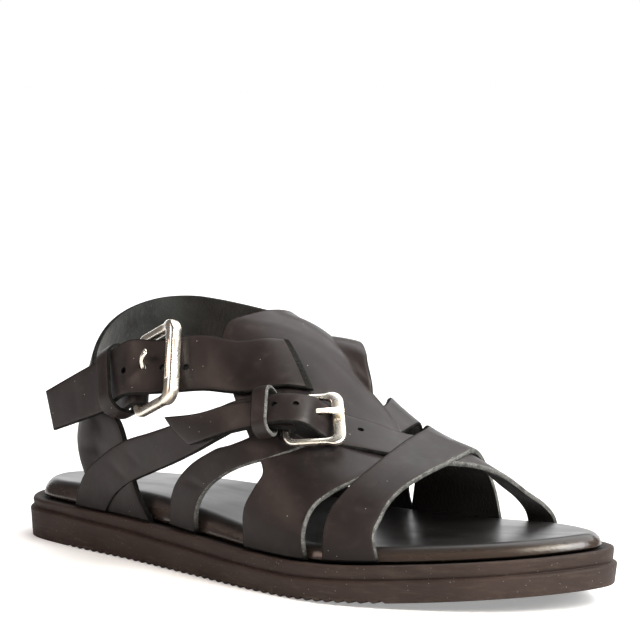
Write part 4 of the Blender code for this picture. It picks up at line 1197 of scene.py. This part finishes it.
def rubber_finish(name, colours):
    """Moulded rubber: matte, finely pitted, dusty, scuffed paler towards the floor, painted shade in the seam
    by the insole.
    """
    paint = Paint(name)
    pits = paint.noise(1100.0, 3.0, 0.6)
    scuff = paint.noise(260.0, 4.0, 0.65, (0.3, 0.6, 2.0))
    low = paint.span(paint.axis(2), 0.007, 0.0005)
    tone = paint.mixed(paint.span(paint.noise(30.0, 4.0), 0.35, 0.66), colours.sole_deep, colours.sole)
    rubbed = paint.times(paint.span(scuff, 0.5, 0.72), paint.plus(paint.times(low, 0.5), 0.22))
    tone = paint.mixed(rubbed, tone, colours.sole_worn)
    tone = paint.mixed(paint.specks(900.0, 0.12, 0.26, 0.6), tone, colours.dust)
    # Painted shade in the seam between the sole's ledge and the insole
    tone = paint.mixed(paint.times(paint.mark("seat"), 0.9), tone, colours.painted_shade)
    rough = paint.span(scuff, 0.3, 0.7, 0.55, 0.78)
    return paint.finished(tone, rough, 0.22, paint.plus(paint.times(pits, 0.7), scuff), 0.0002, 0.5)


def insole_finish(name, colours):
    """Footbed leather: black and smooth on top with a cloudy sheen, browner and pebbled on the rolled rim,
    painted shade at its foot.
    """
    paint = Paint(name)
    cloud = paint.noise(26.0, 4.0)
    grain = paint.noise(900.0, 3.0, 0.6)
    pores = paint.cells(1400.0).outputs["Distance"]
    streak = paint.noise(130.0, stretch=(0.12, 1.0, 1.0))
    side = paint.mark("rim")
    rim = paint.span(side, 0.02, 0.5)
    tone = paint.mixed(paint.span(cloud, 0.35, 0.66), colours.insole_deep, colours.insole)
    tone = paint.mixed(rim, tone, colours.insole_rim)
    # Painted shade at the foot of the rolled rim, above the sole's ledge
    tone = paint.mixed(paint.span(side, 0.82, 1.0, 0.0, 0.9), tone, colours.painted_shade)
    tone = paint.mixed(paint.specks(560.0, 0.12, 0.05, 0.7), tone, colours.dust)
    rough = paint.plus(paint.span(cloud, 0.3, 0.7, 0.28, 0.38), paint.span(streak, 0.42, 0.68, 0.0, 0.05))
    rough = paint.plus(rough, paint.times(rim, -0.1))
    pebbles = paint.times(paint.noise(620.0, 2.0), paint.times(rim, 5.0))
    height = paint.plus(paint.plus(paint.times(pores, 0.5), grain), pebbles)
    return paint.finished(tone, rough, 0.5, height, 0.00006, 0.3)


def metal_finish(name, colours):
    """Polished pale gold: hairline scratches, slight clouds in its gloss."""
    paint = Paint(name)
    cloud = paint.noise(160.0)
    hair = paint.noise(2400.0, 2.0, stretch=(0.2, 1.0, 1.0))
    tone = paint.mixed(paint.span(cloud, 0.35, 0.7), colours.metal, colours.metal_deep)
    paint.constant("Metallic", 1.0)
    return paint.finished(tone, paint.span(cloud, 0.3, 0.7, 0.22, 0.32), 0.5, hair, 0.00005, 0.25)


def floor_finish(name, colours):
    """Plain pale floor: matte, with a trace of mottle and a glow that only the camera sees."""
    paint = Paint(name)
    dim = [FLOOR_DIM * channel for channel in colours.floor]
    paint.link(paint.mixed(paint.noise(4.0, 2.0), dim, colours.floor), "Base Color")
    paint.constant("Roughness", 0.8)
    paint.constant("Specular IOR Level", 0.1)
    paint.constant("Emission Color", WHITE)
    seen = paint.add("ShaderNodeLightPath").outputs["Is Camera Ray"]
    paint.link(paint.times(seen, FLOOR_GLOW), "Emission Strength")
    return paint.material


def made_once(name, finish, colours):
    """The material of a name, made at its first use."""
    return bpy.data.materials.get(name) or finish(name, colours)


def leather_set(colours):
    """Finishes of a leather strip in the order grain side, cut edge, flesh side."""
    finishes = {"strap_grain": leather_finish, "strap_cut": cut_finish, "strap_flesh": suede_finish}
    return [made_once(name, finish, colours) for name, finish in finishes.items()]


def length_prop(name, words, default):
    """Property for a length in metres."""
    return bpy.props.FloatProperty(name=name, description=words, default=default, min=0.0, unit="LENGTH",
                                   precision=5)


def colour_prop(name, words, default):
    """Property for a linear colour."""
    return bpy.props.FloatVectorProperty(name=name, description=words, default=default, size=3, min=0.0,
                                         max=1.0, subtype="COLOR")


def light_prop(name, words, default, unit="POWER"):
    """Property for the power of a lamp, or for a strength without a unit."""
    return bpy.props.FloatProperty(name=name, description=words, default=default, min=0.0, unit=unit)


def angle_prop(name, words, degrees):
    """Property for an angle."""
    return bpy.props.FloatProperty(name=name, description=words, default=math.radians(degrees),
                                   subtype="ANGLE")


class SandalSizes(bpy.types.PropertyGroup):
    """Sizes of the leather pieces."""
    leather_wall: length_prop("Leather wall", "Thickness of the strap leather", LEATHER * METRE)
    keeper_wall: length_prop("Keeper wall", "Thickness of the keeper loops", KEEPER_WALL * METRE)
    edge_round: length_prop("Edge rounding", "Radius of the cut edges", 0.0006)
    crease_share: bpy.props.FloatProperty(name="Creases", description="Share of the creases' full depth",
                                          default=0.6, min=0.0, max=2.0, subtype="FACTOR")


class SandalColours(bpy.types.PropertyGroup):
    """Colours of the finishes."""
    leather: colour_prop("Leather", "Dyed grain side", (0.0222, 0.0168, 0.0164))
    # Also used as painted shade in the creases' hollows
    leather_deep: colour_prop("Leather, deep", "Grain side in its darker clouds", (0.0112, 0.0084, 0.0082))
    leather_worn: colour_prop("Leather, worn", "Rubbed rims and scratches", (0.046, 0.034, 0.032))
    cut_edge: colour_prop("Cut edge", "Raw edge of the leather", (0.23, 0.235, 0.226))
    cut_deep: colour_prop("Cut edge, deep", "Darker fibres of the raw edge", (0.045, 0.046, 0.044))
    cut_dyed: colour_prop("Cut edge, dyed", "Raw edge of the straps dyed through", (0.021, 0.0215, 0.020))
    cut_dark: colour_prop("Cut edge, dark", "Darker fibres of the dyed edge", (0.0055, 0.0052, 0.0050))
    suede: colour_prop("Flesh side", "Nap inside the straps", (0.040, 0.042, 0.041))
    suede_deep: colour_prop("Flesh side, deep", "Nap brushed the other way", (0.013, 0.0135, 0.0135))
    sole: colour_prop("Sole", "Moulded rubber", (0.038, 0.0245, 0.0208))
    sole_deep: colour_prop("Sole, deep", "Rubber in its darker clouds", (0.025, 0.0160, 0.0137))
    sole_worn: colour_prop("Sole, worn", "Scuffed rubber", (0.105, 0.087, 0.068))
    insole: colour_prop("Insole", "Footbed leather", (0.010, 0.0088, 0.0088))
    insole_deep: colour_prop("Insole, deep", "Footbed leather in its clouds", (0.0055, 0.0048, 0.0048))
    insole_rim: colour_prop("Insole rim", "Rolled rim of the footbed", (0.036, 0.026, 0.021))
    metal: colour_prop("Metal", "Polished pale gold", (0.97, 0.92, 0.84))
    metal_deep: colour_prop("Metal, deep", "Gold in its darker clouds", (0.90, 0.82, 0.69))
    # Painted shade, laid at the straps' feet, in the sole's seam, at the insole rim's foot and inside the
    # straps towards the toe
    painted_shade: colour_prop("Grime", "Shade where the straps enter the sole", (0.0020, 0.0017, 0.0016))
    dust: colour_prop("Dust", "Specks of dust", (0.55, 0.53, 0.50))
    floor: colour_prop("Floor", "Studio floor", (0.92, 0.92, 0.92))


class SandalStage(bpy.types.PropertyGroup):
    """Studio light and camera."""
    sky: light_prop("Sky", "Strength of the white surroundings", 0.1, "NONE")
    key: light_prop("Key light", "Power of the softbox ahead of the toe", 14.0)
    side: light_prop("Side light", "Power of the softbox on the lateral side", 6.6)
    front: light_prop("Front light", "Power of the small warm softbox over the toe", 1.8)
    back: light_prop("Back light", "Power of the wide softbox behind the shoe", 6.5)
    sun: light_prop("Even light", "Strength of the even light over floor and shoe", 2.7, "NONE")
    focal: bpy.props.FloatProperty(name="Lens", description="Focal length in mm", default=163.52, min=1.0)
    distance: length_prop("Camera distance", "From the camera to the point it turns about", 1.1)
    azimuth: angle_prop("Azimuth", "Camera's turn from the lateral side to the toe", 42.0)
    elevation: angle_prop("Elevation", "Camera's height angle", 9.5)


class SANDAL_OT_sole(bpy.types.Operator):
    """Builds the ribbed rubber sole"""
    bl_idname = "sandal.sole"
    bl_label = "Sole"

    def execute(self, context):
        build_sole(rubber_finish("sole_rubber_moulded", context.scene.sandal_colours))
        return {"FINISHED"}


class SANDAL_OT_insole(bpy.types.Operator):
    """Builds the padded insole"""
    bl_idname = "sandal.insole"
    bl_label = "Insole"

    def execute(self, context):
        build_insole(insole_finish("insole_black", context.scene.sandal_colours))
        return {"FINISHED"}


class SANDAL_OT_upper(bpy.types.Operator):
    """Builds the joined straps of the upper"""
    bl_idname = "sandal.upper"
    bl_label = "Upper straps"

    def execute(self, context):
        scene = context.scene
        finishes = leather_set(scene.sandal_colours)
        for name, lines in strap_sheets().items():
            if name != "ankle_billet":
                build_strap(name, lines, finishes, "upper_leather", "upper", scene.sandal_sizes)
        return {"FINISHED"}


class SANDAL_OT_ankle(bpy.types.Operator):
    """Builds the ankle strap"""
    bl_idname = "sandal.ankle"
    bl_label = "Ankle strap"

    def execute(self, context):
        scene = context.scene
        finishes = leather_set(scene.sandal_colours)
        lines = strap_sheets()["ankle_billet"]
        build_strap("ankle_billet", lines, finishes, "strap_leather", "ankle_strap", scene.sandal_sizes)
        return {"FINISHED"}


class SANDAL_OT_keepers(bpy.types.Operator):
    """Builds both keeper loops"""
    bl_idname = "sandal.keepers"
    bl_label = "Keeper loops"

    def execute(self, context):
        scene = context.scene
        finishes = leather_set(scene.sandal_colours)
        build_keeper("ankle_loop", "ankle_keeper", ANKLE_KEEPER, finishes, scene.sandal_sizes)
        build_keeper("instep_loop", "instep_keeper", INSTEP_KEEPER, finishes, scene.sandal_sizes)
        return {"FINISHED"}


class SANDAL_OT_buckles(bpy.types.Operator):
    """Builds both buckles with the roller and the prongs"""
    bl_idname = "sandal.buckles"
    bl_label = "Buckles"

    def execute(self, context):
        gold = made_once("buckle_gold", metal_finish, context.scene.sandal_colours)
        build_frame("ankle_frame", "ankle_buckle_frame", ANKLE_BUCKLE, ANKLE_BAR, gold)
        build_frame("instep_frame", "instep_buckle_frame", INSTEP_BUCKLE, INSTEP_BAR, gold)
        build_roller(gold)
        build_prong("ankle_prong", "ankle_buckle_prong", ANKLE_BUCKLE, ANKLE_TONGUE, ANKLE_TIP, gold)
        build_prong("instep_prong", "instep_buckle_prong", INSTEP_BUCKLE, INSTEP_TONGUE, INSTEP_TIP, gold)
        return {"FINISHED"}


def new_light(name, kind, energy, turn):
    """Light of a kind and strength, turned by a quaternion."""
    lamp = bpy.data.lights.new(name, kind)
    lamp.energy = energy
    light = bpy.data.objects.new(name, lamp)
    bpy.context.scene.collection.objects.link(light)
    light.rotation_euler = turn.to_euler()
    return light


def softbox(name, box, power):
    """Oblong tinted area light of a width and height at a place, turned to the shoe and not seen itself."""
    way = Vector(AIM_POINT) - Vector(box.place)
    light = new_light(name, "AREA", power, way.to_track_quat("-Z", "Y"))
    light.data.shape = "RECTANGLE"
    light.data.size, light.data.size_y = box.size
    light.data.color = box.tint
    light.visible_camera = False
    light.location = box.place


def soft_sun(strength):
    """Even light of a wide soft source, so that the floor is as pale far off as it is near."""
    light = new_light("even_light", "SUN", strength, Vector(SUN_WAY).to_track_quat("Z", "Y"))
    light.data.angle = math.radians(SUN_SPREAD)


def aimed_camera(stage):
    """Camera round the shoe's middle, turned so that the middle lands on its pixel of a 640 by 640 picture.

    Back, right and up come from azimuth and elevation, and are then pitched and yawed by the pixel's angles.
    """
    focal_pixels = stage.focal * PICTURE / SENSOR
    azimuth, elevation = stage.azimuth, stage.elevation
    back = np.array([math.sin(azimuth) * math.cos(elevation), -math.cos(azimuth) * math.cos(elevation),
                     math.sin(elevation)])
    right = np.array([math.cos(azimuth), math.sin(azimuth), 0.0])
    up = np.cross(back, right)
    place = np.array(AIM_POINT) + back * stage.distance
    pitch = math.atan((AIM_PIXEL[1] - PICTURE / 2.0) / focal_pixels)
    yaw = math.atan((AIM_PIXEL[0] - PICTURE / 2.0) / focal_pixels * math.cos(pitch))
    level = back * math.cos(pitch) - up * math.sin(pitch)
    top = up * math.cos(pitch) + back * math.sin(pitch)
    behind = level * math.cos(yaw) + right * math.sin(yaw)
    side = right * math.cos(yaw) - level * math.sin(yaw)
    data = bpy.data.cameras.new("photo_camera")
    data.sensor_width = SENSOR
    data.lens = stage.focal
    data.clip_start = CLIP_NEAR
    data.clip_end = CLIP_FAR
    camera = bpy.data.objects.new("photo_camera", data)
    bpy.context.scene.collection.objects.link(camera)
    turn = Matrix(np.stack([side, top, behind], axis=1).tolist())
    camera.rotation_mode = "QUATERNION"
    camera.rotation_quaternion = turn.to_quaternion()
    camera.location = place.tolist()
    bpy.context.scene.camera = camera


def white_surroundings(strength):
    """World that shows pure white behind the shoe and lights it with the given strength."""
    world = bpy.data.worlds.new("studio")
    world.use_nodes = True
    tree = world.node_tree
    lit = tree.nodes["Background"]
    lit.inputs["Color"].default_value = WHITE
    lit.inputs["Strength"].default_value = strength
    seen = add(tree, "ShaderNodeBackground", {"Color": WHITE, "Strength": 1.0})
    ray = add(tree, "ShaderNodeLightPath").outputs["Is Camera Ray"]
    mixed = add(tree, "ShaderNodeMixShader", {0: ray, 1: lit.outputs[0], 2: seen.outputs[0]})
    tree.links.new(mixed.outputs[0], tree.nodes["World Output"].inputs["Surface"])
    bpy.context.scene.world = world


class SANDAL_OT_stage(bpy.types.Operator):
    """Sets up the floor, the light and the camera"""
    bl_idname = "sandal.stage"
    bl_label = "Stage"

    def execute(self, context):
        scene = context.scene
        stage = scene.sandal_stage
        half = FLOOR_HALF / METRE
        corners = np.array([(-half, -half, 0.0), (half, -half, 0.0), (half, half, 0.0), (-half, half, 0.0)])
        finish = floor_finish("floor_pale", scene.sandal_colours)
        floor = new_piece("floor", corners, [[0, 1, 2, 3]], [finish])
        white_surroundings(stage.sky)
        for name, box in SOFTBOXES.items():
            softbox(name + "_softbox", box, getattr(stage, name))
        soft_sun(stage.sun)
        scene.view_settings.view_transform = "Standard"
        aimed_camera(stage)
        return {"FINISHED"}


class SANDAL_PT_panel(bpy.types.Panel):
    """Lists the sandal's operators and settings"""
    bl_idname = "SANDAL_PT_panel"
    bl_label = "Buckle sandal"
    bl_space_type = "VIEW_3D"
    bl_region_type = "UI"
    bl_category = "Sandal"

    def draw(self, context):
        layout = self.layout
        for operator in OPERATORS:
            layout.operator(operator.bl_idname)
        for key in GROUPS:
            group = getattr(context.scene, key)
            for field in group.__annotations__:
                layout.prop(group, field)


GROUPS = {"sandal_sizes": SandalSizes, "sandal_colours": SandalColours, "sandal_stage": SandalStage}
OPERATORS = [SANDAL_OT_sole, SANDAL_OT_insole, SANDAL_OT_upper, SANDAL_OT_ankle, SANDAL_OT_keepers,
             SANDAL_OT_buckles, SANDAL_OT_stage]


def register():
    """Registers the settings, the operators and the panel."""
    for key, group in GROUPS.items():
        bpy.utils.register_class(group)
        setattr(bpy.types.Scene, key, bpy.props.PointerProperty(type=group))
    for operator in OPERATORS:
        bpy.utils.register_class(operator)
    bpy.utils.register_class(SANDAL_PT_panel)


def unregister():
    """Takes the panel, the operators and the settings away again."""
    bpy.utils.unregister_class(SANDAL_PT_panel)
    for operator in reversed(OPERATORS):
        bpy.utils.unregister_class(operator)
    for key, group in GROUPS.items():
        delattr(bpy.types.Scene, key)
        bpy.utils.unregister_class(group)


def main():
    """Builds every piece and the stage."""
    register()
    bpy.ops.sandal.sole()
    bpy.ops.sandal.insole()
    bpy.ops.sandal.upper()
    bpy.ops.sandal.ankle()
    bpy.ops.sandal.keepers()
    bpy.ops.sandal.buckles()
    bpy.ops.sandal.stage()


if __name__ == "__main__":
    main()
